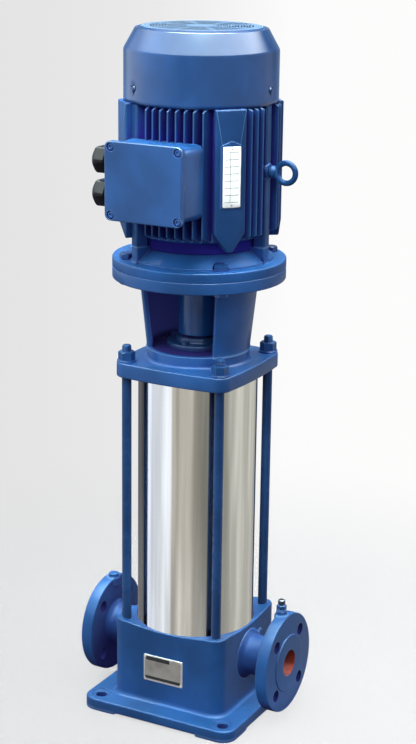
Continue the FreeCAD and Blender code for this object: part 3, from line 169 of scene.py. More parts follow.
# Motor
FRAME_R = 95.0
FRAME_BORE_R = 70.0
FRAME_LOW, FRAME_TOP = heights("motor_frame")
SHELL_TOP = 902.0
FIN_TIP_R = 115.0
SIDE_FIN_TIP_R = 113.0
FIN_PITCH = 11.7
FIN_SHIFT = -1.2
FINS = range(-2, 6)
FIN_ROOT_HALF = 1.8
FIN_TIP_HALF = 1.2
FIN_FOOT = 727.0
FIN_SLOPE = 0.35
FIN_TOP_DROP = 3.5
SIDE_FINS = (23.0, 33.5, 44.0)
LEFT_FINS = (0.0, 10.5, -10.5)
RAILS = np.radians([0.0, 120.0, 240.0])
RAIL_HALF = 8.0
RAIL_R = 107.5
RAIL_EDGE = 2.2
LAND_R = 116.0
LAND_ANGLE = math.radians(40.3)
LAND_HALF = 23.3
LAND_REACH = 31.4
LAND_TIP_HALF = 4.0
LAND_POINT = 716.0
LAND_SHOULDER = 742.0
LAND_LOW = 722.0
END_RING_R = 82.0
WAIST_R = END_RING_R + 5.0
WAIST_TOP = 727.0
SHIELD_R = reach_of("drive_end_shield")
SHIELD_BORE_R = 60.0
SHELF_Z = 690.0
SKIRT_R = 104.0
LIP_R = SKIRT_R + 2.5
BOLT_CIRCLE_R = 107.5
BOLT_R = 6.0
BOLT_ACROSS = 18.0
BOLT_TOP = heights("motor_bolts")[1]
BOLT_NUT_HEIGHT = 6.0
BOLT_NUT_LOW = heights("motor_bolt_nuts")[1] - BOLT_NUT_HEIGHT
POCKET_R = 12.5
COVER_R = reach_of("fan_cover")
COVER_LOW, COVER_TOP = heights("fan_cover")
COVER_SHEET = 1.5
COVER_SHOULDER = 983.0
COVER_TOP_R = 91.0
COVER_CELLS = 240
COVER_SPOKES = 8
SLOT_CELLS = 26
SLOT_RINGS = range(2, 28, 2)
GRILLE_R = 78.0
GRILLE_STEP = 2.0
HUB_R = 16.0
HUB_RINGS = (12.0, 6.0, 0.0)
COVER_SCREW_R = 4.4
COVER_SCREW_Z = 932.0
# Triangles of painted shadow that stand for notches below the fan cover's screws
NOTCH_SHADOW_DROP = 10.0
NOTCH_SHADOW_HEIGHT = 13.8
NOTCH_SHADOW_SLOPE = 0.58
DENT_DEPTH = 1.2
DENT_REACH = 7.0
BOX_LOW, BOX_HIGH = span("terminal_box")
BOX_MID = 815.0
BOX_SEAT_START = 80.0
BOX_HALF_HEIGHT = (BOX_HIGH[2] - BOX_LOW[2]) / 2
LID_LOW, LID_HIGH = span("terminal_box_lid")
LID_FACE = -LID_LOW[1]
LID_HALF_HEIGHT = (LID_HIGH[2] - LID_LOW[2]) / 2
LID_SHIFT = 1.5
LID_RECESS_R = 5.8
LID_SCREW_R = 4.6
LID_SOCKET_R = 2.6
COLLAR_R = 16.5
DOME_R = 20.0
MOUTH_R = 9.0
EYE_X = 135.0
EYE_Z = 820.0
EYE_RING_R = 14.0
EYE_WIRE_R = 4.0
EYE_NECK_R = 7.5
EYE_BOSS_R = 11.0
MOTOR_PLATE_HALF = 13.0
MOTOR_PLATE_LOW, MOTOR_PLATE_TOP = heights("motor_nameplate")
MOTOR_PLATE_SEAT = LAND_R + 1.5
PLATE_MARGIN = 1.5


# Shapes: each is (vertices, quads), and a shape's parts may overlap
def grid(points, close_u=False, close_v=False):
    """Quads over points[u, v]; a closed direction joins its last row to its first."""
    index = np.arange(points.shape[0] * points.shape[1]).reshape(points.shape[:2])
    if close_u:
        index = np.concatenate([index, index[:1]], 0)
    if close_v:
        index = np.concatenate([index, index[:, :1]], 1)
    quads = np.stack([index[:-1, :-1], index[1:, :-1], index[1:, 1:], index[:-1, 1:]], -1)
    return points.reshape(-1, 3), quads.reshape(-1, 4)


def joined(*parts):
    """Several shapes as one."""
    counts = np.cumsum([0] + [len(v) for v, _ in parts])
    return (np.concatenate([v for v, _ in parts]),
            np.concatenate([q + n for (_, q), n in zip(parts, counts)]))


def moved(part, x=0.0, y=0.0, z=0.0):
    """Shifted along the axes."""
    return part[0] + np.array([x, y, z]), part[1]


def spun(part, angle):
    """Turned about the shaft axis by an angle in radians."""
    c, s = math.cos(angle), math.sin(angle)
    return part[0] @ np.array([[c, s, 0], [-s, c, 0], [0, 0, 1]]), part[1]


def pointed(part, axis):
    """A shape built along +Z, pointed along x, -x, -y or y."""
    x, y, z = part[0].T
    places = {"x": (z, y, -x), "-x": (-z, y, x), "-y": (x, -z, y), "y": (x, z, -y)}
    return np.stack(places[axis], -1), part[1]


def rounded(points, radii, steps=6, closed=False):
    """Polyline with each corner replaced by an arc: at a turn of a, the arc of radius r begins r tan(a/2)
    before the corner and is sampled evenly in angle."""
    points = np.array(points, float)
    count = len(points)
    radii = np.broadcast_to(radii, count)
    out = []
    for i in range(count):
        p = points[i]
        if radii[i] == 0 or (not closed and i in (0, count - 1)):
            out.append(p[None])
            continue
        before, after = points[i - 1] - p, points[(i + 1) % count] - p
        before /= np.linalg.norm(before)
        after /= np.linalg.norm(after)
        half = math.acos(np.clip(before @ after, -1, 1)) / 2
        middle = before + after
        centre = p + middle / np.linalg.norm(middle) * radii[i] / math.sin(half)
        start = p + before * radii[i] / math.tan(half) - centre
        end = p + after * radii[i] / math.tan(half) - centre
        t = np.linspace(0, 1, steps + 1)[:, None]
        swing = math.pi - 2 * half
        arc = (np.sin((1 - t) * swing) * start + np.sin(t * swing) * end) / math.sin(swing)
        out.append(centre + arc)
    return np.concatenate(out)


def divided(outline, longest, count):
    """A closed outline whose edges over a length are cut into equal parts."""
    ends = zip(outline, np.roll(outline, -1, 0))
    return np.concatenate([np.linspace(p, q, count, endpoint=False) if np.linalg.norm(q - p) > longest
                           else p[None] for p, q in ends])


def polar(radius, angle, height):
    """Points at a radius, an angle and a height about the axis; the three are spread over each other."""
    radius, angle, height = np.broadcast_arrays(radius, angle, height)
    return np.stack([radius * np.cos(angle), radius * np.sin(angle), height], -1)


def lathe(profile, count=128):
    """Surface of revolution: each (radius, height) of the profile is carried round the Z axis."""
    radius, height = np.array(profile, float).T
    angle = np.linspace(0, TURN, count, endpoint=False)[:, None]
    return grid(polar(radius, angle, height), close_u=True)


def turned(points, radii, count=128, steps=5):
    """Lathe whose profile corners are rounded."""
    return lathe(rounded(points, radii, steps), count)


def plain_rod(radius, low, high, count=32):
    """Cylinder along +Z."""
    return turned([(0, low), (radius, low), (radius, high), (0, high)], 0, count)


def loft(loops):
    """Skin over closed loops of equal length, closed at both ends by their centres."""
    first, last = loops[0], loops[-1]
    ends = [np.broadcast_to(loop.mean(0), loop.shape) for loop in (first, last)]
    return grid(np.stack([ends[0], *loops, ends[1]]), close_v=True)


def square_loop(half, r, z=0.0, bulge=0.0):
    """Rounded square about the axis: straight sides that may swell by bulge (1 - s^2), and quarter circles
    at the corners."""
    s = np.linspace(-1, 1, 20, endpoint=False)
    a = np.linspace(0, QUARTER, 12, endpoint=False)
    side = np.stack([half + bulge * (1 - s * s), s * (half - r)], -1)
    corner = np.stack([half - r + r * np.cos(a), half - r + r * np.sin(a)], -1)
    quarter = np.concatenate([side, corner])
    turns = [(math.cos(k * QUARTER), math.sin(k * QUARTER)) for k in range(4)]
    flat = np.concatenate([quarter @ np.array([[c, d], [-d, c]]) for c, d in turns])
    return np.column_stack([flat, np.broadcast_to(z, len(flat))])


def rolled_edge(half, r, z, edge, steps, under=False, bulge=0.0):
    """Square loops round a quarter circle of radius edge, at angles t: each is drawn in by edge (1 - cos t)
    and stands edge (1 - sin t) off the face at z, above a lower face and below an upper one."""
    loops = []
    for t in np.linspace(QUARTER, 0, steps) if under else np.linspace(0, QUARTER, steps):
        drawn_in = edge * (1 - math.cos(t))
        off = edge * (1 - math.sin(t))
        loops.append(square_loop(half - drawn_in, r - drawn_in, z + off if under else z - off, bulge))
    return loops


def inset(outline, distance):
    """A closed outline drawn in by a distance along its own normals."""
    step = np.roll(outline, -1, 0) - np.roll(outline, 1, 0)
    step /= np.maximum(np.linalg.norm(step, axis=1, keepdims=True), 1e-9)
    return outline + distance * np.stack([-step[:, 1], step[:, 0]], -1)


def plate(outline, low, high, edge, fold, low_edge=0.0, steps=4):
    """Thick plate on a counter-clockwise outline: the rim runs from low to high, rounds over by a quarter
    circle of radius edge, and closes inward in rings; fold(a, b, height) puts each point in space."""
    low_turns = np.linspace(QUARTER, 0, steps + 1) if low_edge else [0.0]
    levels = [(low_edge * (1 - math.cos(t)), low + low_edge * (1 - math.sin(t))) for t in low_turns]
    levels += [(edge * (1 - math.cos(t)), high - edge * (1 - math.sin(t)))
               for t in np.linspace(0, QUARTER, steps + 1)]
    rows = [(inset(outline, drawn_in), height) for drawn_in, height in levels]
    middle = outline.mean(0)
    low_end, high_end = ([(middle + (loop - middle) * share, height) for share in (0.0, 0.25, 0.5, 0.75)]
                         for loop, height in (rows[0], rows[-1]))
    rows = low_end + rows + high_end[::-1]
    return grid(np.stack([np.stack(fold(loop[:, 0], loop[:, 1], np.full(len(loop), height)), -1)
                          for loop, height in rows]), close_v=True)


def upward(a, b, h):
    """Plate that lies flat, its height along +Z."""
    return a, b, h


def sideways(a, b, h):
    """Plate that stands in the XZ plane, its height along +Y."""
    return a, h, b


def frontward(a, b, h):
    """Plate that faces the front: a runs to the right, b up, height towards -Y."""
    return a, -h, b


def facing(angle):
    """Plate standing square to a radius at an angle: a runs across, b up, height outward."""
    def fold(a, b, h):
        return h * math.cos(angle) - a * math.sin(angle), h * math.sin(angle) + a * math.cos(angle), b
    return fold


def wrapped(angle, radius):
    """Plate bent round the shaft axis: a is measured along the circle of that radius."""
    def fold(a, b, h):
        turn = angle + a / radius
        return h * np.cos(turn), h * np.sin(turn), b
    return fold


def hexagon_reach(angle):
    """Distance to a hexagon's side over the distance to its flats: one over the cosine of the angle from the
    nearest flat's middle."""
    return 1 / np.cos((angle + math.pi / 6) % (math.pi / 3) - math.pi / 6)


def hexagon(across, height):
    """Hexagon head along +Z, across its flats, and a 30 degree cone turns off the corners at the top."""
    angle = np.linspace(0, TURN, 72, endpoint=False)
    corners = across / 2 * hexagon_reach(angle)
    crown = across / 2 * 0.93
    drop = (corners - crown) * math.tan(math.radians(30))
    rows = [(corners * 0.94, 0.0), (corners, 0.3), (corners, height - drop), (crown, height)]
    return loft([polar(r, angle, z) for r, z in rows])


def threaded(r, low, high, pitch, depth):
    """Screw end: the radius falls by a triangle wave of the height less the turn's share of the pitch."""
    around = np.linspace(0, TURN, 32, endpoint=False)
    along = np.linspace(low, high, int((high - low) / pitch * 6))
    angle, z = np.meshgrid(around, along, indexing="ij")
    wave = np.abs(((z / pitch - angle / TURN) % 1.0) * 2 - 1)
    fade = np.clip((high - z) / pitch, 0, 1)
    points = polar((r - depth * wave) * (0.8 + 0.2 * fade), angle, z)
    ends = [points[:, k:k + 1] * np.array([0, 0, 1]) for k in (0, len(along) - 1)]
    return grid(np.concatenate([ends[0], points, ends[1]], 1), close_u=True)


def torus(ring_r, wire_r):
    """Ring in the XY plane: a circle of radius wire_r carried round a circle of radius ring_r."""
    u, v = np.meshgrid(np.linspace(0, TURN, 64, endpoint=False), np.linspace(0, TURN, 24, endpoint=False),
                       indexing="ij")
    return grid(polar(ring_r + wire_r * np.cos(v), u, wire_r * np.sin(v)), True, True)


# Pieces
def mesh_of(name, parts):
    """Mesh in metres from shapes, each with its material's number; doubles are merged and faces turned
    outward."""
    mesh = bpy.data.meshes.new(name)
    verts, quads = joined(*[part for part, _ in parts])
    kinds = np.concatenate([np.full(len(part[1]), kind) for part, kind in parts])
    mesh.vertices.add(len(verts))
    mesh.vertices.foreach_set("co", (verts * MM).astype(np.float32).ravel())
    mesh.loops.add(quads.size)
    mesh.loops.foreach_set("vertex_index", quads.astype(np.int32).ravel())
    mesh.polygons.add(len(quads))
    mesh.polygons.foreach_set("loop_start", np.arange(0, quads.size, 4, dtype=np.int32))
    mesh.polygons.foreach_set("material_index", kinds.astype(np.int32))
    mesh.update(calc_edges=True)
    merged = bmesh.new()
    merged.from_mesh(mesh)
    bmesh.ops.remove_doubles(merged, verts=merged.verts, dist=2e-6)
    bmesh.ops.dissolve_degenerate(merged, edges=merged.edges, dist=1e-6)
    bmesh.ops.recalc_face_normals(merged, faces=merged.faces)
    merged.to_mesh(mesh)
    merged.free()
    smooth(mesh)
    return mesh


def smooth(mesh):
    """Smooth shading, with every edge sharper than a set angle kept sharp."""
    mesh.shade_smooth()
    mesh.set_sharp_from_angle(angle=SHARP_EDGE)


def placed(name, data):
    """A new object in the scene."""
    made = bpy.data.objects.new(name, data)
    bpy.context.scene.collection.objects.link(made)
    return made


def bored(made, cutters):
    """Take shapes out of a piece and keep the result as its mesh."""
    tool = placed("cutter", mesh_of("cutter", [(cutter, 0) for cutter in cutters]))
    modifier = made.modifiers.new("bores", "BOOLEAN")
    modifier.operation = "DIFFERENCE"
    modifier.solver = "EXACT"
    modifier.object = tool
    bpy.context.view_layer.update()
    cut = bpy.data.meshes.new_from_object(made.evaluated_get(bpy.context.evaluated_depsgraph_get()))
    made.modifiers.clear()
    made.data = cut
    bpy.data.objects.remove(tool)
    smooth(cut)


def piece(name, parts, looks, stands_for, cutters=(), body=BODY, mirrored=True):
    """One finished object: its shapes, alone or each with its material's number, its materials in order, the
    nodes it replaces, the shapes cut out of it, the body it rides on, and whether other pieces mirror it."""
    looks = looks if isinstance(looks, list) else [looks]
    parts = [part if isinstance(part[1], int) else (part, 0) for part in parts]
    made = placed(name, mesh_of(name, parts))
    for look in looks:
        made.data.materials.append(look)
    if cutters:
        bored(made, cutters)
    made.visible_glossy = mirrored
    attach(made, body)
    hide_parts(*stands_for)
    return made


# Materials
class Value:
    """A shader socket that can stand in sums, products and comparisons."""

    def __init__(self, look, socket):
        self.look = look
        self.socket = socket

    def math(self, operation, *others):
        return self.look.node("ShaderNodeMath", {"operation": operation}, self, *others)

    def __add__(self, other):
        return self.math("ADD", other)

    def __sub__(self, other):
        return self.math("SUBTRACT", other)

    def __rsub__(self, other):
        return self.look.node("ShaderNodeMath", {"operation": "SUBTRACT"}, other, self)

    def __mul__(self, other):
        return self.math("MULTIPLY", other)

    def __truediv__(self, other):
        return self.math("DIVIDE", other)

    def __rtruediv__(self, other):
        return self.look.node("ShaderNodeMath", {"operation": "DIVIDE"}, other, self)

    def __pow__(self, other):
        return self.math("POWER", other)

    __radd__ = __add__
    __rmul__ = __mul__

    def above(self, low, high):
        """0 below low, 1 above high, smooth between."""
        return self.look.node("ShaderNodeMapRange", {"interpolation_type": "SMOOTHSTEP"}, self, low, high)


class Graph:
    """Node tree whose nodes are made by one call each."""

    def __init__(self, tree):
        self.nodes = tree.nodes
        self.links = tree.links

    def node(self, kind, settings, *inputs, out=0, **named):
        """One node: its settings first, then values or links for its sockets, in order or by name."""
        made = self.nodes.new(kind)
        stops = settings.pop("stops", None)
        for key, value in settings.items():
            setattr(made, key, value)
        if stops:
            ramp = made.color_ramp
            while len(ramp.elements) < len(stops):
                ramp.elements.new(0.5)
            for element, (position, colour) in zip(ramp.elements, stops):
                element.position = position
                element.color = (*colour, 1.0)
        pairs = list(enumerate(inputs)) + [(key.replace("_", " "), value) for key, value in named.items()]
        for key, value in pairs:
            self.feed(made.inputs[key], value)
        return Value(self, made.outputs[out])

    def feed(self, socket, value):
        """Link a value to a socket, or set a number or colour on it."""
        if isinstance(value, Value):
            self.links.new(value.socket, socket)
        elif value is not None:
            socket.default_value = value

    def mix(self, share, low, high):
        """Colour between low and high. A Mix node's two colours are its seventh and eighth inputs."""
        others = [None] * 5
        return self.node("ShaderNodeMix", {"data_type": "RGBA"}, share, *others, low, high, out=2)

    def ramp(self, stops, share):
        """Colour at a share of the way along a row of stops."""
        return self.node("ShaderNodeValToRGB", {"stops": stops}, share)

    def split(self, vector):
        """The three coordinates of a vector."""
        first = self.node("ShaderNodeSeparateXYZ", {}, vector)
        return [Value(self, out) for out in first.socket.node.outputs]

    def ray(self, kind):
        """1 for a ray of one kind."""
        return self.node("ShaderNodeLightPath", {}, out="Is %s Ray" % kind)


class Look(Graph):
    """A material with one Principled shader; values and colours are linked to its sockets."""

    def __init__(self, name, **constants):
        self.material = bpy.data.materials.new(name)
        self.material.use_nodes = True
        super().__init__(self.material.node_tree)
        self.shader = self.nodes["Principled BSDF"]
        self.place = self.node("ShaderNodeTexCoord", {}, out="Object")
        self.set(**constants)

    def set(self, **sockets):
        """Feed the shader's sockets."""
        for key, value in sockets.items():
            self.feed(self.shader.inputs[key.replace("_", " ")], value)

    def noise(self, scale, detail=2.0, roughness=0.5, place=None):
        """Cloudy pattern, from 0 to 1."""
        return self.node("ShaderNodeTexNoise", {}, place or self.place, None, scale, detail, roughness)

    def stretched(self, x, y, z):
        """Object coordinates scaled by axis, for a grain that runs one way."""
        return self.node("ShaderNodeMapping", {}, self.place, (0, 0, 0), (0, 0, 0), (x, y, z))

    def bump(self, height, strength, distance):
        """Normal of a surface with a height of its own."""
        return self.node("ShaderNodeBump", {}, strength, distance, Height=height)

    def openness(self, distance, inside=False):
        """Share of the directions from a point that are free within a distance, outside the surface or
        inside it."""
        settings = {"samples": 6, "inside": inside}
        return self.node("ShaderNodeAmbientOcclusion", settings, None, distance, out="AO")

    def radius_and_height(self):
        """Distance from the pump's axis and height, both from the object coordinates."""
        flat = self.node("ShaderNodeVectorMath", {"operation": "MULTIPLY"}, self.place, (1, 1, 0))
        radius = self.node("ShaderNodeVectorMath", {"operation": "LENGTH"}, flat, out="Value")
        return radius, self.split(self.place)[2]


def shaded(colour, share, lift=0.0):
    """A colour made darker or lighter, as red, green, blue and alpha."""
    return (*[min(1.0, c * share + lift) for c in colour], 1.0)


BLUE = (0.013, 0.083, 0.268)
# Painted shade tones: crevices, deep pits, bolt holes, the gaps between the fins
CREVICE_SHADE = (0.026, 0.021, 0.160, 1.0)
DEEP_SHADE = (0.008, 0.015, 0.050, 1.0)
HOLE_SHADE = (0.010, 0.010, 0.075, 1.0)
FIN_GAP_SHADE = (0.034, 0.044, 0.210, 1.0)
CROWN_GREY = (0.036, 0.046, 0.059, 1.0)
# Painted shade inside the lantern: walls and a darker floor
LANTERN_WALL_SHADE = (0.090, 0.100, 0.420, 1.0)
LANTERN_FLOOR_SHADE = (0.016, 0.014, 0.110, 1.0)
# Painted shadow on the frame's waist under the fins
WAIST_SHADOW = (0.020, 0.016, 0.200, 1.0)
# Painted highlight on convex edges
EDGE_HIGHLIGHT = (0.120, 0.270, 0.520, 1.0)


def lantern_shade_tone(look):
    """Painted shade inside the lantern: a dark floor and lighter walls."""
    height = look.radius_and_height()[1]
    share = height.above((STOOL_FLOOR + 1) * MM, (STOOL_FLOOR + 13) * MM)
    return look.mix(share, LANTERN_FLOOR_SHADE, LANTERN_WALL_SHADE)


def lantern_shade_region(look):
    """1 inside the lantern, where its shade is painted: nearer the axis than the middle of its flaring walls,
    and above its floor.
    """
    radius, z = look.radius_and_height()
    slope = (STOOL_TOP_R - STOOL_RING_R) / (BRACKET_LOW - STOOL_FLOOR)
    wall = (z - STOOL_FLOOR * MM) * slope + (STOOL_RING_R - 5) * MM
    above_floor = z.above((STOOL_FLOOR - 2.5) * MM, (STOOL_FLOOR - 0.5) * MM)
    return (wall - radius).above(-0.5 * MM, 1.5 * MM) * above_floor


def bolt_hole_shade_region(look):
    """1 on the walls of the port flanges' bolt holes, where their shade is painted: within their radius of
    the bolt circle's corners, where the distance is the root of the sum of squares across the port's axis."""
    _, y, z = look.split(look.place)
    corner = PORT_BOLT_CIRCLE_R * MM * math.sqrt(0.5)
    aside = y.math("ABSOLUTE") - corner
    over = (z - PORT_Z * MM).math("ABSOLUTE") - corner
    distance = (aside * aside + over * over) ** 0.5
    return 1.0 - distance.above((PORT_BOLT_R + 0.15) * MM, (PORT_BOLT_R + 0.5) * MM)


def waist_shadow_region(look):
    """1 on the frame's waist under the fins, where their shadow is painted."""
    radius, z = look.radius_and_height()
    below = 1.0 - z.above((WAIST_TOP - 1.5) * MM, (WAIST_TOP + 3.5) * MM)
    return below * (1.0 - radius.above((WAIST_R + 1) * MM, (WAIST_R + 3) * MM))


def screw_notch_shadows(look):
    """1 in the three triangles round the fan cover's screws where a notch's shadow is painted, each pointing
    down: the distance aside is less than a share of the rise above its point."""
    x, y, z = look.split(look.place)
    rise = z - (COVER_SCREW_Z - NOTCH_SHADOW_DROP) * MM
    shadow_sum = 0.0
    for angle in RAILS:
        c, s = math.cos(angle), math.sin(angle)
        aside = (y * c - x * s).math("ABSOLUTE")
        this_side = (x * c + y * s).above(0.0, 10.0 * MM)
        shadow_sum = (rise * NOTCH_SHADOW_SLOPE - aside).above(-0.3 * MM, 0.6 * MM) * this_side + shadow_sum
    return shadow_sum * (1.0 - rise.above(NOTCH_SHADOW_HEIGHT * MM, (NOTCH_SHADOW_HEIGHT + 1) * MM))


def crown_flat(look):
    """1 on the fan cover's flat crown, whose paint is made greyer and matt."""
    radius, z = look.radius_and_height()
    within = 1.0 - radius.above((COVER_TOP_R - 8) * MM, (COVER_TOP_R - 5) * MM)
    return within * z.above((COVER_TOP - 1.5) * MM, (COVER_TOP - 0.8) * MM)


def enamel(name, colour, cast=1.0, gloss=0.3, reach=0.018, coat=0.28, spec=0.26, shade=1.0, edge=0.0,
           crevice_shade=CREVICE_SHADE, inside=None, tone=None, matt=None):
    """Blue machine enamel: casting grain under the paint, orange peel on top, thin spots, painted shade as a
    dark tone in crevices, and a painted highlight as a lighter tone along convex edges. reach is how far off
    a wall still makes a crevice; inside masks a hollow where shade is painted in a tone of its own, and matt
    masks a patch made greyer and matt."""
    look = Look(name, IOR=1.5, Specular_IOR_Level=spec, Coat_Roughness=0.10)
    cloud = look.noise(9.0, 3.0)
    mottle = look.noise(70.0, 3.0)
    peel = look.noise(420.0, 1.5)
    grain = look.noise(150.0, 4.0, 0.62)
    body = look.mix(cloud.above(0.35, 0.68), shaded(colour, 0.72), shaded(colour, 1.18, 0.004))
    body = look.mix(mottle.above(0.60, 0.78) * 0.16, body, shaded(colour, 0.55))
    # Painted highlight: a lighter tone where the surface turns over a convex edge.
    if edge:
        edge_room = look.openness(0.0018, inside=True)
        body = look.mix((1.0 - edge_room.above(0.45, 0.95)) * edge, body, EDGE_HIGHLIGHT)
    # Painted shade: the colour turns to the crevice tone where little open air lies within reach.
    clear = 1.0 - (1.0 - look.openness(reach).above(0.12, 0.72)) * shade
    body = look.mix(clear, crevice_shade, body)
    # Painted shade in a hollow: where the inside mask is 1, the colour takes the tone given.
    if inside:
        clear = clear * (1.0 - inside(look))
        body = look.mix(clear, tone(look) if callable(tone) else tone, body)
    # A patch made greyer and matt.
    if matt:
        greyed = matt(look)
        body = look.mix(greyed * 0.8, body, CROWN_GREY)
        clear = clear * (1.0 - greyed)
    rough = gloss + (cloud * 0.12 + mottle * 0.10) * (0.4 + 0.6 * cast) + (1.0 - clear) * 0.6
    height = peel * 0.25 + grain * cast
    look.set(Base_Color=body, Roughness=rough, Coat_Weight=clear * coat,
             Normal=look.bump(height, 0.35, 0.0006 * (0.4 + cast)))
    return look.material


def rolled_steel():
    """Polished stainless tube: long vertical drawing lines, faint cloudy buffing, a warm tone, and vertical
    bands of lighter and darker colour that are partly buffing streaks and partly painted reflection.
    """
    look = Look("stainless_tube", Metallic=1.0, IOR=2.6)
    lines = look.noise(1.0, 3.0, 0.6, look.stretched(900.0, 900.0, 5.0))
    buff_and_reflection_bands = look.noise(1.0, 2.0, 0.5, look.stretched(55.0, 55.0, 2.2))
    haze = look.noise(26.0, 3.0, 0.55)
    # The bands' colour is partly buffing streaks and partly painted reflection.
    colour = look.mix(buff_and_reflection_bands.above(0.35, 0.70), (0.54, 0.525, 0.49, 1), (0.84, 0.825, 0.79, 1))
    rough = 0.045 + buff_and_reflection_bands * 0.06 + haze * 0.05
    height = lines * 0.12 + buff_and_reflection_bands * 1.0
    look.set(Base_Color=colour, Roughness=rough, Normal=look.bump(height, 0.22, 0.0004))
    return look.material


def primer():
    """Red lead primer inside the ports: flat, brushed and uneven, with painted shade deep inside."""
    look = Look("port_primer", IOR=1.45, Specular_IOR_Level=0.15)
    patch = look.noise(60.0, 4.0)
    colour = look.mix(patch.above(0.3, 0.7), (0.13, 0.014, 0.008, 1), (0.30, 0.036, 0.014, 1))
    # Painted shade: near-black red where little open air lies within reach.
    colour = look.mix(look.openness(0.06).above(0.15, 0.62), (0.030, 0.004, 0.006, 1), colour)
    look.set(Base_Color=colour, Roughness=0.42 + patch * 0.2, Normal=look.bump(patch, 0.4, 0.0006))
    return look.material


def moulded(name, colour, gloss):
    """Moulded plastic with a fine spark texture and paler wear."""
    look = Look(name, IOR=1.5, Specular_IOR_Level=0.12, Coat_Weight=0.12, Coat_Roughness=0.05)
    spark = look.noise(900.0, 2.0)
    wear = look.noise(60.0, 3.0)
    tone = look.mix(wear.above(0.5, 0.8), shaded(colour, 1.0), shaded(colour, 2.2, 0.006))
    look.set(Base_Color=tone, Roughness=gloss + wear * 0.15, Normal=look.bump(spark, 0.15, 0.0002))
    return look.material


def bright_metal(name, colour, rough, scale=500.0):
    """Machined or plated metal with fine tool marks and dull patches."""
    look = Look(name, Metallic=1.0)
    shadow_sum = look.noise(scale, 3.0)
    patch = look.noise(45.0, 3.0)
    tone = look.mix(patch.above(0.4, 0.75), shaded(colour, 1.0), shaded(colour, 0.72))
    look.set(Base_Color=tone, Roughness=rough + patch * 0.15, Normal=look.bump(shadow_sum, 0.2, 0.0002))
    return look.material


def paler(share):
    """The enamel's blue at a share of its strength."""
    return tuple(c * share for c in BLUE)


# The pump body's blue is darkened to 0.84 as painted shade, for light falling off towards the low casting;
# the lifting eye, plugs and rear end shield share it.
cast_blue = enamel("cast_blue_enamel", paler(0.84), gloss=0.36, coat=0.06, spec=0.13, edge=0.6)
box_blue = enamel("box_blue_enamel", BLUE, cast=0.6, shade=0.2, edge=0.6)
# Painted shade: dark between the fins and on the waist under them.
frame_blue = enamel("frame_blue_enamel", paler(0.78), reach=0.034, coat=0.1, spec=0.16, shade=0.85, edge=0.6,
                    crevice_shade=FIN_GAP_SHADE, inside=waist_shadow_region, tone=WAIST_SHADOW)
shield_blue = enamel("shield_blue_enamel", BLUE, gloss=0.36, reach=0.034, coat=0.08, spec=0.15, edge=0.9)
# Painted shade inside the lantern.
lantern_blue = enamel("lantern_blue_enamel", BLUE, reach=0.03, coat=0.2, spec=0.18, edge=0.9,
                      inside=lantern_shade_region, tone=lantern_shade_tone)
# Painted shade in the flanges' bolt holes and deep round the ports, as on the flanges' backs.
port_blue = enamel("port_blue_enamel", BLUE, gloss=0.34, reach=0.08, coat=0.06, spec=0.15, edge=0.7,
                   inside=bolt_hole_shade_region, tone=HOLE_SHADE)
sheet_blue = enamel("sheet_blue_enamel", BLUE, cast=0.15, gloss=0.20)
# Painted shadows in triangles below the screws; the crown is greyer and matt.
cover_blue = enamel("cover_blue_enamel", BLUE, cast=0.15, gloss=0.11, inside=screw_notch_shadows, tone=DEEP_SHADE,
                    matt=crown_flat)
lid_blue = enamel("lid_blue_enamel", paler(0.93), cast=0.15, gloss=0.24, spec=0.2, edge=0.7)
# Enamel darkened to 0.4 of its blue: painted shade on the seal gland and its bolts deep in the lantern; the
# fan cover's screws share it.
shaded_blue = enamel("shaded_blue_enamel", paler(0.4), cast=0.6, gloss=0.34, reach=0.03)
# Painted shade in near-black blue where the rods stand close to other parts.
rod_blue = enamel("rod_blue_enamel", paler(0.62), cast=0.1, gloss=0.22, reach=0.05, coat=0.15, spec=0.12,
                  crevice_shade=DEEP_SHADE)
end_blue = enamel("rod_end_enamel", paler(0.50), cast=0.3, gloss=0.45, coat=0.0, spec=0.15)
nut_blue = enamel("nut_enamel", paler(0.72), cast=0.3, gloss=0.3, coat=0.1, spec=0.15, edge=0.4)
steel_tube = rolled_steel()
red_primer = primer()
black_plastic = moulded("black_gland_plastic", (0.006, 0.006, 0.008), 0.14)
grey_plastic = moulded("grey_gland_plastic", (0.16, 0.18, 0.20), 0.25)
dull_black = moulded("dull_moulding", (0.02, 0.02, 0.02), 0.5)
machined = bright_metal("machined_steel", (0.56, 0.56, 0.57), 0.25)
dark_steel = bright_metal("dark_steel", (0.20, 0.20, 0.21), 0.4)
plug_steel = bright_metal("plug_steel", (0.07, 0.08, 0.10), 0.25, 200.0)
plate_metal = bright_metal("plate_metal", (0.52, 0.51, 0.50), 0.35, 900.0)
white_plate = bright_metal("white_plate", (0.90, 0.90, 0.90), 0.5, 900.0)
dull_plate = bright_metal("dull_plate", (0.31, 0.285, 0.255), 0.45, 900.0)
copper = bright_metal("copper_wire", (0.62, 0.28, 0.13), 0.35)
brass = bright_metal("brass", (0.70, 0.52, 0.24), 0.3)


# Pump body
def dish(radius):
    """Height of the barrel's turned top at a radius, straight between the stations of the dish."""
    return np.interp(radius, *np.array(DISH).T)


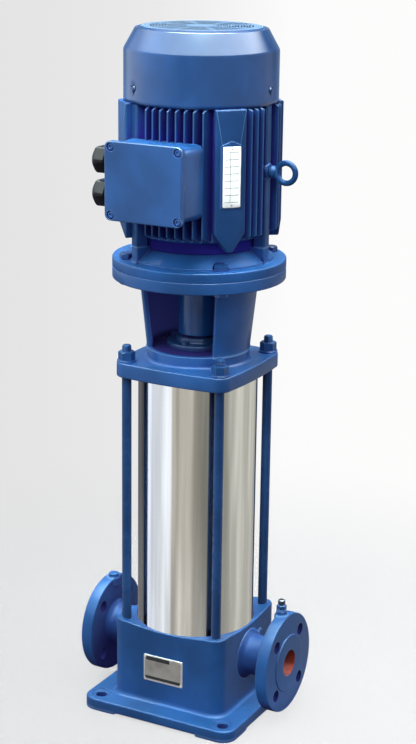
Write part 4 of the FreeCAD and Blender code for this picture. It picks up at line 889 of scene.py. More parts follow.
def barrel_and_foot():
    """One skin: foot rim, fillet, barrel wall, and a rim that dips where the turned dish meets the flat
    sides."""
    loops = rolled_edge(FOOT_HALF, FOOT_CORNER_R, FOOT_RELIEF, FOOT_LOW_EDGE, 4, under=True)
    loops += rolled_edge(FOOT_HALF, FOOT_CORNER_R, FOOT_THICK, FOOT_TOP_EDGE, 6)
    for t in np.linspace(0, QUARTER, 9):
        out = BASE_FILLET * (1 - math.sin(t))
        up = BASE_FILLET * (1 - math.cos(t))
        loops.append(square_loop(BARREL_HALF + out, BARREL_CORNER_R + out, FOOT_THICK + up))
    top = square_loop(BARREL_HALF - RIM_EDGE, BARREL_CORNER_R - RIM_EDGE)[:, :2]
    distance = np.hypot(*top.T)
    rim = dish(distance)
    low = FOOT_THICK + BASE_FILLET
    for share in (0.3, 0.6, 0.85):
        loops.append(square_loop(BARREL_HALF, BARREL_CORNER_R, low + share * (rim - RIM_EDGE - low)))
    loops += rolled_edge(BARREL_HALF, BARREL_CORNER_R, rim, RIM_EDGE, 6)
    seat = top / distance[:, None] * DISH[0][0]
    for t in np.linspace(0.12, 1, 9):
        flat = top * (1 - t) + seat * t
        loops.append(np.column_stack([flat, dish(np.hypot(*flat.T))]))
    loops.append(np.column_stack([seat, np.full(len(seat), WELL_Z)]))
    return loft(loops)


def foot_pads():
    """Four raised pads under the foot's corners."""
    low, high = FOOT_HALF - FOOT_PAD, FOOT_HALF
    outline = rounded([(low, low), (high, low), (high, high), (low, high)], [3, 3, FOOT_CORNER_R, 3], 8, True)
    pad = plate(outline, 0.0, FOOT_RELIEF + 2, 0.0, upward, low_edge=0.8)
    return [spun(pad, k * QUARTER) for k in range(4)]


def port():
    """Neck, flange and raised face along +Z, with cast fillets, and the bore; both reach into the barrel."""
    back = PORT_FACE - PORT_RISE - PORT_THICK
    shoulder = PORT_FACE - PORT_RISE
    root_r = PORT_NECK_R + 8
    outside = rounded(
        [(0, PORT_NECK_START), (root_r, PORT_NECK_START), (root_r, BARREL_HALF + 1),
         (PORT_NECK_R, BARREL_HALF + 8), (PORT_NECK_R, back - 6), (PORT_NECK_R + 6, back), (PORT_R, back),
         (PORT_R, shoulder), (PORT_FACE_R, shoulder), (PORT_FACE_R, PORT_FACE), (PORT_BORE_R, PORT_FACE)],
        [0, 0, 2, 9, 9, 5, 2.0, 1.6, 0.6, 0.8, 0], 6)
    bore = rounded([(PORT_BORE_R, PORT_FACE), (PORT_BORE_R, PORT_BORE_END), (0, PORT_BORE_END)], [0, 3, 0], 4)
    return lathe(outside, 160), lathe(bore, 160)


def flange_boss():
    """Small cast boss on a flange rim, flared into it."""
    top = BOSS_TOP - PORT_Z
    root_r = BOSS_R + 2.5
    return turned([(0, PORT_R - 12), (root_r, PORT_R - 12), (root_r, PORT_R - 1), (BOSS_R, PORT_R + 2),
                   (BOSS_R, top), (0, top)], [0, 0, 0, 3, 1.2, 0], 40)


def port_branches():
    """Both ports, each with its primed bore, its bolt holes and a boss on top of its flange."""
    outside, bore = port()
    drill = plain_rod(PORT_BOLT_R, PORT_FACE - 24, PORT_FACE + 2)
    parts = []
    cutters = []
    for axis in ("x", "-x"):
        for part, kind in ((outside, 0), (bore, 1)):
            parts.append((moved(pointed(part, axis), z=PORT_Z), kind))
        for angle in CORNERS:
            hole = moved(drill, PORT_BOLT_CIRCLE_R * math.cos(angle), PORT_BOLT_CIRCLE_R * math.sin(angle))
            cutters.append(moved(pointed(hole, axis), z=PORT_Z))
    both = ["inlet_branch", "outlet_branch"]
    piece("port_branch_castings", parts, [port_blue, red_primer], both, cutters, mirrored=False)
    bosses = [moved(flange_boss(), x, 0, PORT_Z) for x in (PLUG_X, -PLUG_X)]
    piece("gauge_boss_castings", bosses, port_blue, both, mirrored=False)


def pump_body():
    """The casting, cut away round the ports' necks and at the foot's holes, and its bosses and pads."""
    wall = BARREL_HALF
    well = plain_rod(PORT_WELL_R, PORT_WELL_START, wall + 3)
    cutters = [moved(pointed(well, axis), z=PORT_Z) for axis in ("x", "-x")]
    drill = turned([(0, -2), (FOOT_HOLE_R, -2), (FOOT_HOLE_R, FOOT_SPOT_Z), (FOOT_SPOT_R, FOOT_SPOT_Z),
                    (FOOT_SPOT_R, FOOT_THICK + 12), (0, FOOT_THICK + 12)], [0, 0, 0.8, 1.0, 0, 0], 40)
    cutters += [moved(drill, x, y) for x, y in FOOT_HOLES]
    piece("pump_body_casting", [barrel_and_foot()], cast_blue, ["pump_body"], cutters, mirrored=False)
    drain = turned([(0, wall - 4), (DRAIN_R, wall - 4), (DRAIN_R, wall - 1), (DRAIN_R - 2, wall + 2),
                    (0, wall + 2)], [0, 0, 1, 1.5, 0], 40)
    bump = turned([(0, wall - 4), (BUMP_R, wall - 4), (BUMP_R - 1, wall), (BUMP_R - 4, wall + 3),
                   (0, wall + 3)], [0, 1, 4, 2, 0], 40)
    bosses = [moved(pointed(drain, "y"), z=DRAIN_Z), moved(pointed(bump, "x"), 0, BUMP_Y, BUMP_Z)]
    holes = [moved(plain_rod(FOOT_HOLE_R, -2, FOOT_THICK), x, y) for x, y in FOOT_HOLES]
    piece("pump_body_bosses_and_pads", bosses + foot_pads(), cast_blue, ["pump_body"], holes)


def plug():
    """Capped screw plug along +Z: round base, hexagon, and waisted stem with a domed cap, with material
    numbers."""
    base = turned([(0, 0), (PLUG_BASE_R, 0), (PLUG_BASE_R, 2), (PLUG_STEM_R, 2.2), (0, 2.2)],
                  [0, 0.5, 0.6, 0.5, 0], 32)
    cap = turned([(0, 8.5), (PLUG_STEM_R, 8.5), (PLUG_STEM_R, 10.5), (PLUG_CAP_R, 10.5), (PLUG_CAP_R, 17.5),
                  (0, 17.5)], [0, 0, 0.5, 0.8, 2.2, 0], 32)
    return [(base, 0), (moved(hexagon(PLUG_ACROSS, 7.0), z=2.0), 0), (cap, 1)]


def screw_plugs():
    """A plug on the discharge flange's boss and one low on the back of the barrel."""
    parts = []
    for part, kind in plug():
        parts.append((moved(part, PLUG_X, 0, BOSS_TOP), kind))
        parts.append((moved(pointed(part, "y"), 0, BARREL_HALF + 2, DRAIN_Z), kind))
    piece("screw_plug_set", parts, [cast_blue, plug_steel], ["screw_plugs"],
          mirrored=False)


# Sleeve and tie rods
def sleeve():
    """Tube: an outside wall of even rings, closed over both ends to the inside wall."""
    inner = SLEEVE_R - SLEEVE_WALL
    wall = [(SLEEVE_R, z) for z in np.linspace(SLEEVE_LOW, SLEEVE_TOP, 40)]
    shell = lathe([(inner, SLEEVE_LOW), *wall, (inner, SLEEVE_TOP), (inner, SLEEVE_LOW)], 256)
    piece("outer_sleeve_tube", [shell], steel_tube, ["outer_sleeve"])


def at_rods(part):
    """A shape repeated at the four tie rods."""
    return [moved(part, x, y) for x in (-ROD_AT, ROD_AT) for y in (-ROD_AT, ROD_AT)]


def tie_rods():
    """Plain shanks with screwed ends, and a washer and a hexagon nut on each."""
    shank = plain_rod(ROD_R, ROD_LOW, ROD_NUT_TOP - 1, 40)
    end = threaded(ROD_R, ROD_NUT_TOP - 2, ROD_TOP, ROD_PITCH, ROD_THREAD)
    parts = at_rods(shank) + [(part, 1) for part in at_rods(end)]
    piece("tie_rod_set", parts, [rod_blue, end_blue], ["tie_rods"])
    washer = turned([(0, WASHER_LOW), (WASHER_R, WASHER_LOW), (WASHER_R, WASHER_TOP), (0, WASHER_TOP)],
                    [0, 0.5, 0.7, 0], 48)
    piece("tie_rod_washer_set", at_rods(washer), sheet_blue, ["tie_rod_washers"])
    nut = moved(hexagon(ROD_NUT_ACROSS, ROD_NUT_TOP - ROD_NUT_LOW), z=ROD_NUT_LOW)
    piece("tie_rod_nut_set", at_rods(nut), nut_blue, ["tie_rod_nuts"])


# Motor stool
def plate_slab():
    """Square top plate with swollen sides and round edges, filleted up into the base ring."""
    loops = rolled_edge(PLATE_HALF, PLATE_CORNER_R, PLATE_LOW, PLATE_EDGE, 5, True, PLATE_BULGE)
    loops += rolled_edge(PLATE_HALF, PLATE_CORNER_R, PLATE_TOP, PLATE_EDGE, 6, False, PLATE_BULGE)
    edge = loops[-1][:, :2]
    circle = edge / np.hypot(*edge.T)[:, None]
    rings = [(STOOL_RING_R + RING_FILLET * (1 - math.sin(t)), PLATE_TOP + RING_FILLET * (1 - math.cos(t)))
             for t in np.linspace(0, QUARTER, 7)]
    rings += [(STOOL_RING_R - RING_EDGE * (1 - math.cos(t)), STOOL_FLOOR - RING_EDGE * (1 - math.sin(t)))
              for t in np.linspace(0, QUARTER, 5)]
    loops += [np.column_stack([circle * r, np.full(len(edge), z)]) for r, z in rings]
    return loft(loops)


def lantern_walls():
    """Two walls at +X and -X: a rounded strip bent to a sector in plan, whose radius grows with height, with
    a flare under the flange and a small foot on the ring, both as squares of the nearness."""
    levels = np.linspace(STOOL_FLOOR - 3, BRACKET_LOW + 2, 24)
    rise = (STOOL_TOP_R - STOOL_RING_R) * (levels - STOOL_FLOOR) / (BRACKET_LOW - STOOL_FLOOR)
    flare = FLARE * np.maximum(0, 1 - (BRACKET_LOW - levels) / FLARE_HEIGHT) ** 2
    foot = WALL_FOOT * np.maximum(0, 1 - (levels - STOOL_FLOOR) / WALL_FOOT_HEIGHT) ** 2
    outer = STOOL_RING_R + rise + flare + foot
    inner = STOOL_RING_R - STOOL_WALL + rise - flare * 0.4
    loops = []
    for z, a, b in zip(levels, inner, outer):
        middle = (a + b) / 2
        run = (QUARTER - WINDOW_HALF) * middle
        strip = divided(rounded([(a, -run), (b, -run), (b, run), (a, run)], 2.6, 5, True), 30, 10)
        loops.append(polar(strip[:, 0], strip[:, 1] / middle, z))
    wall = loft(loops)
    return [wall, spun(wall, math.pi)]


def bracket_flange():
    """Round flange on top of the lantern, with the ring over the windows."""
    inner = STOOL_TOP_R - STOOL_WALL
    head = BRACKET_LOW - WINDOW_HEAD
    return turned([(inner - 1, head), (STOOL_TOP_R - 0.5, head), (STOOL_TOP_R + 1, BRACKET_LOW),
                   (FLANGE_R, BRACKET_LOW), (FLANGE_R, STOOL_TOP), (inner, STOOL_TOP), (inner - 1, head)],
                  [0, 1.5, 4, 2.2, 1.2, 0, 0], 192)


def motor_stool():
    """Plate, walls and bracket flange as one casting."""
    piece("motor_stool_casting", [plate_slab(), *lantern_walls(), bracket_flange()], lantern_blue,
          ["motor_stool"])


def coupling():
    """Plain rigid sleeve with turned chamfers."""
    r, low, top = COUPLING_R, COUPLING_LOW, COUPLING_TOP
    body = turned([(0, low), (r, low), (r, top), (0, top)], [0, 1.6, 1.6, 0], 96)
    piece("coupling_sleeve_turned", [body], sheet_blue, ["coupling_sleeve"], body=ROTOR)


def seal_gland():
    """Stepped gland let into the stool's floor, and the four bolts that hold it."""
    step = GLAND_TOP - 3
    body = turned([(0, GLAND_LOW), (GLAND_SPIGOT_R, GLAND_LOW), (GLAND_SPIGOT_R, STOOL_FLOOR),
                   (GLAND_R, STOOL_FLOOR), (GLAND_R, GLAND_RIM_Z), (GLAND_NECK_R, GLAND_RIM_Z),
                   (GLAND_NECK_R - 1, GLAND_TOP), (GLAND_BORE_R, GLAND_TOP), (GLAND_BORE_R, step), (0, step)],
                  [0, 0, 0, 1, 2, 3, 1.5, 1, 0, 0], 96)
    piece("seal_gland_turned", [body], shaded_blue, ["seal_gland"])
    head = moved(hexagon(GLAND_BOLT_ACROSS, GLAND_BOLT_HEAD), GLAND_BOLT_AT, 0, GLAND_RIM_Z)
    piece("seal_gland_bolt_set", [spun(head, k * QUARTER) for k in range(4)], shaded_blue, ["seal_gland_bolts"])


# Motor
def end_shield():
    """Drive-end shield: flange, sloping skirt with a lip and a pocket at each bolt, waist, and three upright
    legs that carry on the frame's rails."""
    low, top = STOOL_TOP, FRAME_LOW
    body = turned([(SHIELD_BORE_R, low), (SHIELD_R, low), (SHIELD_R, SHELF_Z), (LIP_R, SHELF_Z),
                   (LIP_R, SHELF_Z + 2.4), (SKIRT_R, SHELF_Z + 3), (WAIST_R, top - 1.5), (WAIST_R - 3, top),
                   (SHIELD_BORE_R, top), (SHIELD_BORE_R, low)],
                  [0, 1.2, 2.6, 0.3, 1.0, 1.0, 1.2, 1, 0, 0], 192)
    pocket = moved(plain_rod(POCKET_R, SHELF_Z + 0.2, SHELF_Z + 30), BOLT_CIRCLE_R)
    piece("drive_end_shield_casting", [body], shield_blue, ["drive_end_shield"],
          [spun(pocket, angle) for angle in CORNERS])
    inner, outer = END_RING_R - 6, RAIL_R - 0.25
    outline = rounded([(inner, SHELF_Z - 1), (outer + 1.5, SHELF_Z - 1), (outer, SHELF_Z + 5),
                       (outer, top + 5), (inner, top + 5)], [0, 0, 5, 2, 0], 5, True)
    leg = plate(outline, -RAIL_HALF, RAIL_HALF, RAIL_EDGE, sideways, low_edge=RAIL_EDGE)
    piece("drive_end_shield_legs", [spun(leg, angle) for angle in RAILS], shield_blue, ["drive_end_shield"])


def flange_bolts():
    """Hexagon bolts down through the motor's flange and the bracket, with a nut under each."""
    end = BOLT_NUT_LOW - 0.5
    shank = turned([(0, end), (BOLT_R, end), (BOLT_R, SHELF_Z), (0, SHELF_Z)], [0, 1, 0, 0], 32)
    head = moved(hexagon(BOLT_ACROSS, BOLT_TOP - SHELF_Z), z=SHELF_Z)
    bolt = moved(joined(shank, head), BOLT_CIRCLE_R)
    piece("motor_bolt_set", [spun(bolt, angle) for angle in CORNERS], sheet_blue, ["motor_bolts"])
    nut, quads = hexagon(BOLT_ACROSS, BOLT_NUT_HEIGHT)
    nut = moved((nut * np.array([1, 1, -1]), quads), BOLT_CIRCLE_R, 0, BOLT_NUT_LOW + BOLT_NUT_HEIGHT)
    piece("motor_bolt_nut_set", [spun(nut, angle) for angle in CORNERS], sheet_blue, ["motor_bolt_nuts"])


def fin(at, tip_r):
    """Cooling fin towards +X, at a distance beside the axis: a tapered section with a round tip, which ends
    on the circle of the tip's radius; its lower edge rises outward and its top drops near the tip."""
    tip = math.sqrt(tip_r ** 2 - at ** 2)
    root = math.sqrt(FRAME_R ** 2 - at ** 2) - 4
    section = rounded([(root, -FIN_ROOT_HALF), (tip, -FIN_TIP_HALF), (tip, FIN_TIP_HALF),
                       (root, FIN_ROOT_HALF)], [0, 1.0, 1.0, 0], 4, True)
    section = divided(section, 8, 3)
    low = FIN_FOOT + (section[:, 0] - root) * FIN_SLOPE
    out = (section[:, 0] - root) / (tip - root)
    top = FRAME_TOP - FIN_TOP_DROP * np.clip(out * 3 - 2, 0, 1)
    small = inset(section, 0.6)
    rows = [(small, low), (section, low + 0.8), (section, top - 0.8), (small, top)]
    return loft([np.column_stack([loop[:, 0], loop[:, 1] + at, z]) for loop, z in rows])


def cooling_fins():
    """Fins in banks that each point one way: front and back, right and left."""
    blades = []
    for k in FINS:
        at = k * FIN_PITCH + FIN_SHIFT
        blades += [spun(fin(-at, FIN_TIP_R), QUARTER), spun(fin(at, FIN_TIP_R), -QUARTER)]
    for at in SIDE_FINS:
        for y in (at, -at):
            blade = fin(y, SIDE_FIN_TIP_R)
            blades += [blade, spun(blade, math.pi)]
    return blades + [spun(fin(y, SIDE_FIN_TIP_R), math.pi) for y in LEFT_FINS]


def land_outline(left, front):
    """Corner land seen from outside: on the right its lower end is a blunt point, on the left it slants down
    to the nearest rail, which it almost meets."""
    if not left:
        tip = LAND_TIP_HALF
        return rounded([(-LAND_HALF, LAND_SHOULDER), (-tip, LAND_POINT), (tip, LAND_POINT),
                        (LAND_HALF, LAND_SHOULDER), (LAND_HALF, FRAME_TOP), (-LAND_HALF, FRAME_TOP)],
                       [3, 4, 4, 3, 1.5, 1.5], 5, True)
    ends = [(-LAND_HALF, LAND_SHOULDER), (LAND_REACH, LAND_LOW)]
    if not front:
        ends = [(-LAND_REACH, LAND_LOW), (LAND_HALF, LAND_SHOULDER)]
    (a, _), (b, _) = ends
    return rounded([*ends, (b, FRAME_TOP), (a, FRAME_TOP)], [3, 3, 1.5, 1.5], 5, True)


def motor_frame():
    """Shell, fins, rails, corner lands, and the seats of the terminal box, the eye and the nameplate."""
    low, top = FRAME_LOW, SHELL_TOP
    parts = [turned([(FRAME_BORE_R, low), (WAIST_R, low), (WAIST_R, WAIST_TOP - 4), (FRAME_R, WAIST_TOP),
                     (FRAME_R, top), (FRAME_BORE_R, top), (FRAME_BORE_R, low)], [0, 0, 3, 2, 1, 0, 0], 160)]
    parts += cooling_fins()
    rail = rounded([(-RAIL_HALF, low + 3), (RAIL_HALF, low + 3), (RAIL_HALF, FRAME_TOP),
                    (-RAIL_HALF, FRAME_TOP)], 1.5, 4, True)
    parts += [plate(rail, FRAME_R - 4, RAIL_R, RAIL_EDGE, facing(angle)) for angle in RAILS]
    for angle in (LAND_ANGLE, math.pi - LAND_ANGLE, math.pi + LAND_ANGLE, -LAND_ANGLE):
        land = land_outline(math.cos(angle) < 0, math.sin(angle) < 0)
        parts.append(plate(land, FRAME_R - 6, LAND_R, 2.5, wrapped(angle, LAND_R)))
    seat = box_outline(BOX_HIGH[0] - 2, BOX_HALF_HEIGHT - 2, 12)
    parts.append(plate(seat, BOX_SEAT_START, -BOX_HIGH[1] + 1, 0.5, frontward))
    boss = turned([(0, FRAME_R), (EYE_BOSS_R + 2, FRAME_R), (EYE_BOSS_R, RAIL_R + 1),
                   (EYE_BOSS_R, RAIL_R + 2.5), (0, RAIL_R + 2.5)], [0, 0, 2, 1, 0], 40)
    parts.append(moved(pointed(boss, "x"), z=EYE_Z))
    half = MOTOR_PLATE_HALF + PLATE_MARGIN
    z0, z1 = MOTOR_PLATE_LOW - PLATE_MARGIN, MOTOR_PLATE_TOP + PLATE_MARGIN
    seat = rounded([(-half, z0), (half, z0), (half, z1), (0, z1 + 6), (-half, z1)], [1, 1, 2, 3, 2], 4, True)
    parts.append(plate(seat, LAND_R - 6, MOTOR_PLATE_SEAT, 0.8, facing(-LAND_ANGLE)))
    piece("motor_frame_casting", parts, frame_blue, ["motor_frame"])


def cover_profile():
    """Side of the fan cover: upright wall, conical shoulder and rounded crown."""
    return rounded([(COVER_R, COVER_LOW), (COVER_R, COVER_SHOULDER), (COVER_TOP_R + 2, COVER_TOP - 2.5),
                    (COVER_TOP_R - 8, COVER_TOP), (GRILLE_R, COVER_TOP)], [0, 9, 2.5, 4, 0], 8)


def fan_cover():
    """Pressed sheet, thickened inward: the profile carried round the axis, less a dent at each screw that is
    DENT_DEPTH exp(-(distance / DENT_REACH)^4) deep. Every other ring of the crown is left open between the
    spokes, as arc slots."""
    side = cover_profile()
    wall = np.linspace(side[0], side[1], 14, endpoint=False)
    rings = np.concatenate([np.arange(GRILLE_R - GRILLE_STEP, HUB_R, -GRILLE_STEP), HUB_RINGS])
    crown = np.column_stack([rings, np.full(len(rings), COVER_TOP)])
    radius, z = np.concatenate([wall, side[1:], crown]).T
    angle = np.linspace(0, TURN, COVER_CELLS, endpoint=False)[:, None]
    dent = 0.0
    for screw in RAILS:
        away = (angle - screw + math.pi) % TURN - math.pi
        distance = np.hypot(away * COVER_R, z - COVER_SCREW_Z)
        dent = dent + DENT_DEPTH * np.exp(-(distance / DENT_REACH) ** 4)
    verts, quads = grid(polar(radius - dent, angle, z), close_u=True)
    along = len(z) - 1
    turn = np.repeat(np.arange(COVER_CELLS), along)
    ring = np.tile(np.arange(along), COVER_CELLS) - (len(z) - len(rings))
    slots = np.isin(ring, SLOT_RINGS) & (turn % (COVER_CELLS // COVER_SPOKES) < SLOT_CELLS)
    cover = piece("fan_cover_pressing", [(verts, quads[~slots])], cover_blue, ["fan_cover"])
    sheet = cover.modifiers.new("sheet", "SOLIDIFY")
    sheet.thickness = COVER_SHEET * MM
    sheet.offset = -1.0


def cover_screws():
    """Round screw heads along +X with a slot across, in front of the frame's rails."""
    low = COVER_R - 2.2
    screw = turned([(0, low), (COVER_SCREW_R, low), (COVER_SCREW_R, low + 1.4),
                    (COVER_SCREW_R - 1.4, low + 3.2), (0, low + 3.6)], [0, 0, 0.8, 1.2, 0], 24)
    slot = plate(strip(-5, 5, -0.5, 0.5, 0.1, 2), low + 2.4, low + 5, 0.0, facing(0.0))
    heads, slots = ([spun(moved(part, z=COVER_SCREW_Z), angle) for angle in RAILS]
                    for part in (pointed(screw, "x"), slot))
    piece("fan_cover_screw_set", heads, shaded_blue, ["fan_cover_screws"], slots)


# Terminal box
def strip(x0, x1, z0, z1, r=0.3, steps=3):
    """Rectangle with round corners."""
    return rounded([(x0, z0), (x1, z0), (x1, z1), (x0, z1)], r, steps, True)


def box_outline(half_x, half_z, r):
    """The box's outline as seen from the front."""
    return strip(-half_x, half_x, BOX_MID - half_z, BOX_MID + half_z, r, 8)


def drafted(a, b, h):
    """Plate that faces the front and widens towards its back by 7 per cent, a little more to the right, and
    by 3 per cent in height."""
    back, front = -BOX_HIGH[1], -BOX_LOW[1]
    share = (front - h) / (front - back)
    return a * (1 + 0.07 * share) + LID_SHIFT * share, -h, BOX_MID + (b - BOX_MID) * (1 + 0.03 * share)


def terminal_box():
    """Cast box with draft, its flat lid, and four screws sunk in the lid's corners."""
    body = plate(box_outline(BOX_HIGH[0], BOX_HALF_HEIGHT, 12), -BOX_HIGH[1], -BOX_LOW[1], 0.0, drafted,
                 low_edge=6.0, steps=6)
    piece("terminal_box_casting", [body], box_blue, ["terminal_box"])
    outline = box_outline(LID_HIGH[0] + 1.0, LID_HALF_HEIGHT + 1.5, 9)
    lid = plate(outline, -LID_HIGH[1], LID_FACE, 2.0, frontward, low_edge=0.8)
    floor = LID_FACE - 3.8
    recess = turned([(0, floor), (LID_RECESS_R, floor), (LID_RECESS_R, LID_FACE - 1),
                     (LID_RECESS_R + 0.6, LID_FACE + 1), (0, LID_FACE + 1)], [0, 0.8, 0.6, 0, 0], 40)
    base, socket = LID_FACE - 4.5, LID_FACE - 2.6
    head = turned([(0, base), (LID_SCREW_R, base), (LID_SCREW_R, LID_FACE - 1.4),
                   (LID_SOCKET_R, LID_FACE - 0.8), (LID_SOCKET_R - 0.4, socket), (0, socket)],
                  [0, 0, 0.9, 0.4, 0.2, 0], 36)
    dx, dz = LID_HIGH[0] - 7, LID_HALF_HEIGHT - 6.5
    recesses, heads = ([moved(pointed(part, "-y"), x, 0, BOX_MID + z) for x in (-dx, dx) for z in (-dz, dz)]
                       for part in (recess, head))
    piece("terminal_box_lid_casting", [moved(lid, x=-LID_SHIFT)], lid_blue, ["terminal_box_lid"], recesses)
    piece("lid_screw_set", heads, sheet_blue, ["lid_screws"])


def cable_gland(name, node_body, node_cap):
    """Gland along -X: round collar, then a cap whose rows are hexagonal by a share, from the dome nut's flats
    to the round mouth of the rubber seal."""
    low, high = span(node_body)
    cap_low, cap_high = span(node_cap)
    wall, joint, nose = -BOX_LOW[0], -cap_high[0], -cap_low[0]
    collar = turned([(0, wall - 1), (COLLAR_R, wall - 1), (COLLAR_R, joint + 1), (0, joint + 1)],
                    [0, 0, 1, 0], 48)
    angle = np.linspace(0, TURN, 120, endpoint=False)
    flats = 0.90 * hexagon_reach(angle)
    rows = [(DOME_R - 1.4, joint + 0.2, 0.8), (DOME_R, joint + 1.6, 1), (DOME_R, nose - 6, 1),
            (DOME_R - 2, nose - 3, 0.6), (14.5, nose - 0.8, 0), (MOUTH_R + 2, nose, 0),
            (MOUTH_R + 1, nose - 1.2, 0), (MOUTH_R, nose - 3.5, 0)]
    cap = loft([polar(r * np.minimum(1.0, 1 + share * (flats - 1)), angle, z) for r, z, share in rows])
    y, z = (low[1] + high[1]) / 2, (low[2] + high[2]) / 2
    parts = [(moved(pointed(part, "-x"), 0, y, z), kind) for part, kind in ((collar, 1), (cap, 0))]
    piece(name, parts, [black_plastic, grey_plastic], [node_body, node_cap])


def lifting_eye():
    """Forged ring in the XZ plane, on a waisted foot towards +X."""
    ring, quads = torus(EYE_RING_R, EYE_WIRE_R)
    ring = moved((ring[:, [0, 2, 1]], quads), EYE_X, 0, EYE_Z)
    start = EYE_X - EYE_RING_R
    foot = turned([(0, RAIL_R + 1), (EYE_NECK_R, RAIL_R + 1), (EYE_NECK_R + 2, RAIL_R + 6.5),
                   (EYE_NECK_R - 1, start - 0.5), (0, start)], [0, 0.6, 6, 3, 0], 48, 8)
    piece("lifting_eye_forging", [ring, moved(pointed(foot, "x"), z=EYE_Z)], cast_blue, ["lifting_eye"])


def nameplates():
    """Bare plates: the pump's has a dull panel between two dark bands, the motor's an empty ruled form."""
    (x0, _, z0), (x1, _, z1) = span("pump_nameplate")
    layers = [(strip(x0, x1, z0, z1, 2), 0.0, 0.8, 0.25, 0),
              (strip(x0 + 1.5, x1 - 3, z0 + 2.5, z1 - 1.5), 0.6, 0.9, 0.1, 1),
              (strip(x0 + 4, x1 - 22, z1 - 8.5, z1 - 2.5), 0.8, 1.1, 0.1, 2),
              (strip(x0 + 3, x1 - 4, z0 + 3.5, z0 + 8), 0.8, 1.1, 0.1, 2)]
    parts = [(plate(outline, BARREL_HALF + low, BARREL_HALF + high, edge, frontward), kind)
             for outline, low, high, edge, kind in layers]
    piece("pump_nameplate_sheet", parts, [plate_metal, dull_plate, dull_black], ["pump_nameplate"])
    half, low, high = MOTOR_PLATE_HALF, MOTOR_PLATE_LOW + 7, MOTOR_PLATE_TOP - 8
    layers = [(strip(-half, half, MOTOR_PLATE_LOW, MOTOR_PLATE_TOP, 2), 0.0, 0.8, 0.25, 0)]
    layers += [(strip(3 - half, half - 3, z, z + 0.7), 0.6, 0.9, 0.05, 1) for z in np.linspace(low, high, 8)]
    layers.append((strip(-2.5, -1.9, low, high), 0.6, 0.9, 0.05, 1))
    fold = facing(-LAND_ANGLE)
    parts = [(plate(outline, MOTOR_PLATE_SEAT + low, MOTOR_PLATE_SEAT + high, edge, fold), kind)
             for outline, low, high, edge, kind in layers]
    piece("motor_nameplate_sheet", parts, [white_plate, dull_black], ["motor_nameplate"])


# Nodes whose shape stays, with the material that each gets
KEPT = [
    (machined, ["pump_shaft", "motor_shaft", "shaft_nut", "shaft_keys", "coupling_screws", "seal_head",
                "bearing_outer_rings", "bearing_inner_rings"]),
    (machined, ["impeller_%d" % (k + 1) for k in range(6)]),
    (dark_steel, ["stator_core", "rotor_core"] + ["stage_casing_%d" % (k + 1) for k in range(6)]),
    (cast_blue, ["rear_end_shield"]),
    (copper, ["stator_windings"]),
    (brass, ["terminal_studs"]),
    (dull_black, ["terminal_board", "cooling_fan", "lower_bush", "seal_seat", "sleeve_gaskets"]),
    (plate_metal, ["nameplate_rivets"]),
]


def dress_kept_nodes():
    """Give each kept node its material."""
    for look, names in KEPT:
        for name in names:
            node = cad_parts[name]
            node.data.materials.clear()
            node.data.materials.append(look)


pump_body()
port_branches()
screw_plugs()
sleeve()
tie_rods()
motor_stool()
coupling()
seal_gland()
end_shield()
flange_bolts()
motor_frame()
fan_cover()
cover_screws()
terminal_box()
cable_gland("cable_gland_upper_moulding", "cable_gland_upper", "gland_cap_upper")
cable_gland("cable_gland_lower_moulding", "cable_gland_lower", "gland_cap_lower")
lifting_eye()
nameplates()
dress_kept_nodes()


# Stage: world, floor, lamp and camera. A row of stops holds a share of the turn, where 0.5 is the front and
# 0.75 the right, and the colour there.
VIEW_AZIMUTH = math.radians(28.12)
VIEW_ELEVATION = math.radians(16.04)
VIEW_ROLL = math.radians(0.739)
VIEW_DISTANCE = 2.5546
AIM_RIGHT = 0.014573
AIM_HEIGHT = 0.514917
FOCAL_PIXELS = 1745.96
FRAME_PIXELS = 744
SENSOR = 36.0
FLOOR_R = 1.6
FLOOR_FADE = (0.35, 1.2)
PAGE_FADE = (-0.16, 0.16)
PAGE = [(0.0, (0.77, 0.77, 0.77)), (0.35, (0.82, 0.82, 0.82)), (0.7, (0.97, 0.97, 0.97)),
        (1.0, (0.98, 0.98, 0.975))]
LOW_SKY = [(0.00, (0.50, 0.50, 0.47)), (0.05, (0.20, 0.20, 0.21)), (0.20, (0.12, 0.12, 0.14)),
           (0.25, (0.04, 0.04, 0.05)), (0.258, (1.05, 1.15, 1.40)), (0.436, (1.14, 1.22, 1.34)),
           (0.441, (0.56, 0.54, 0.50)), (0.472, (0.60, 0.57, 0.53)), (0.488, (0.86, 0.84, 0.79)),
           (0.545, (0.84, 0.82, 0.77)), (0.565, (0.50, 0.48, 0.44)), (0.60, (0.36, 0.36, 0.33)),
           (0.66, (0.30, 0.30, 0.28)), (0.74, (0.46, 0.46, 0.43)), (0.80, (0.74, 0.75, 0.71)),
           (0.87, (0.66, 0.67, 0.62)), (0.92, (0.76, 0.77, 0.73)), (1.00, (0.50, 0.50, 0.47))]
MIDDLE_SKY = [(0.00, (0.24, 0.34, 0.52)), (0.16, (0.24, 0.34, 0.52)), (0.21, (1.3, 1.5, 1.8)),
              (0.29, (1.9, 2.1, 2.4)), (0.38, (1.4, 1.5, 1.6)), (0.50, (0.6, 0.62, 0.66)),
              (0.72, (0.8, 0.8, 0.82)), (0.90, (0.8, 0.84, 0.9)), (0.95, (0.24, 0.34, 0.52)),
              (1.00, (0.24, 0.34, 0.52))]
HIGH_SKY = [(0.00, (1.3, 1.4, 1.5)), (0.14, (1.1, 1.2, 1.25)), (0.24, (5.0, 5.4, 5.4)),
            (0.42, (7.6, 8.8, 8.6)), (0.60, (9.6, 11.2, 10.8)), (0.85, (12.5, 13.6, 14.0)),
            (0.92, (11.0, 12.0, 12.2)), (0.96, (2.0, 2.2, 2.3)), (1.00, (1.3, 1.4, 1.5))]
TOP_SKY = (44.0, 58.0, 56.0, 1.0)
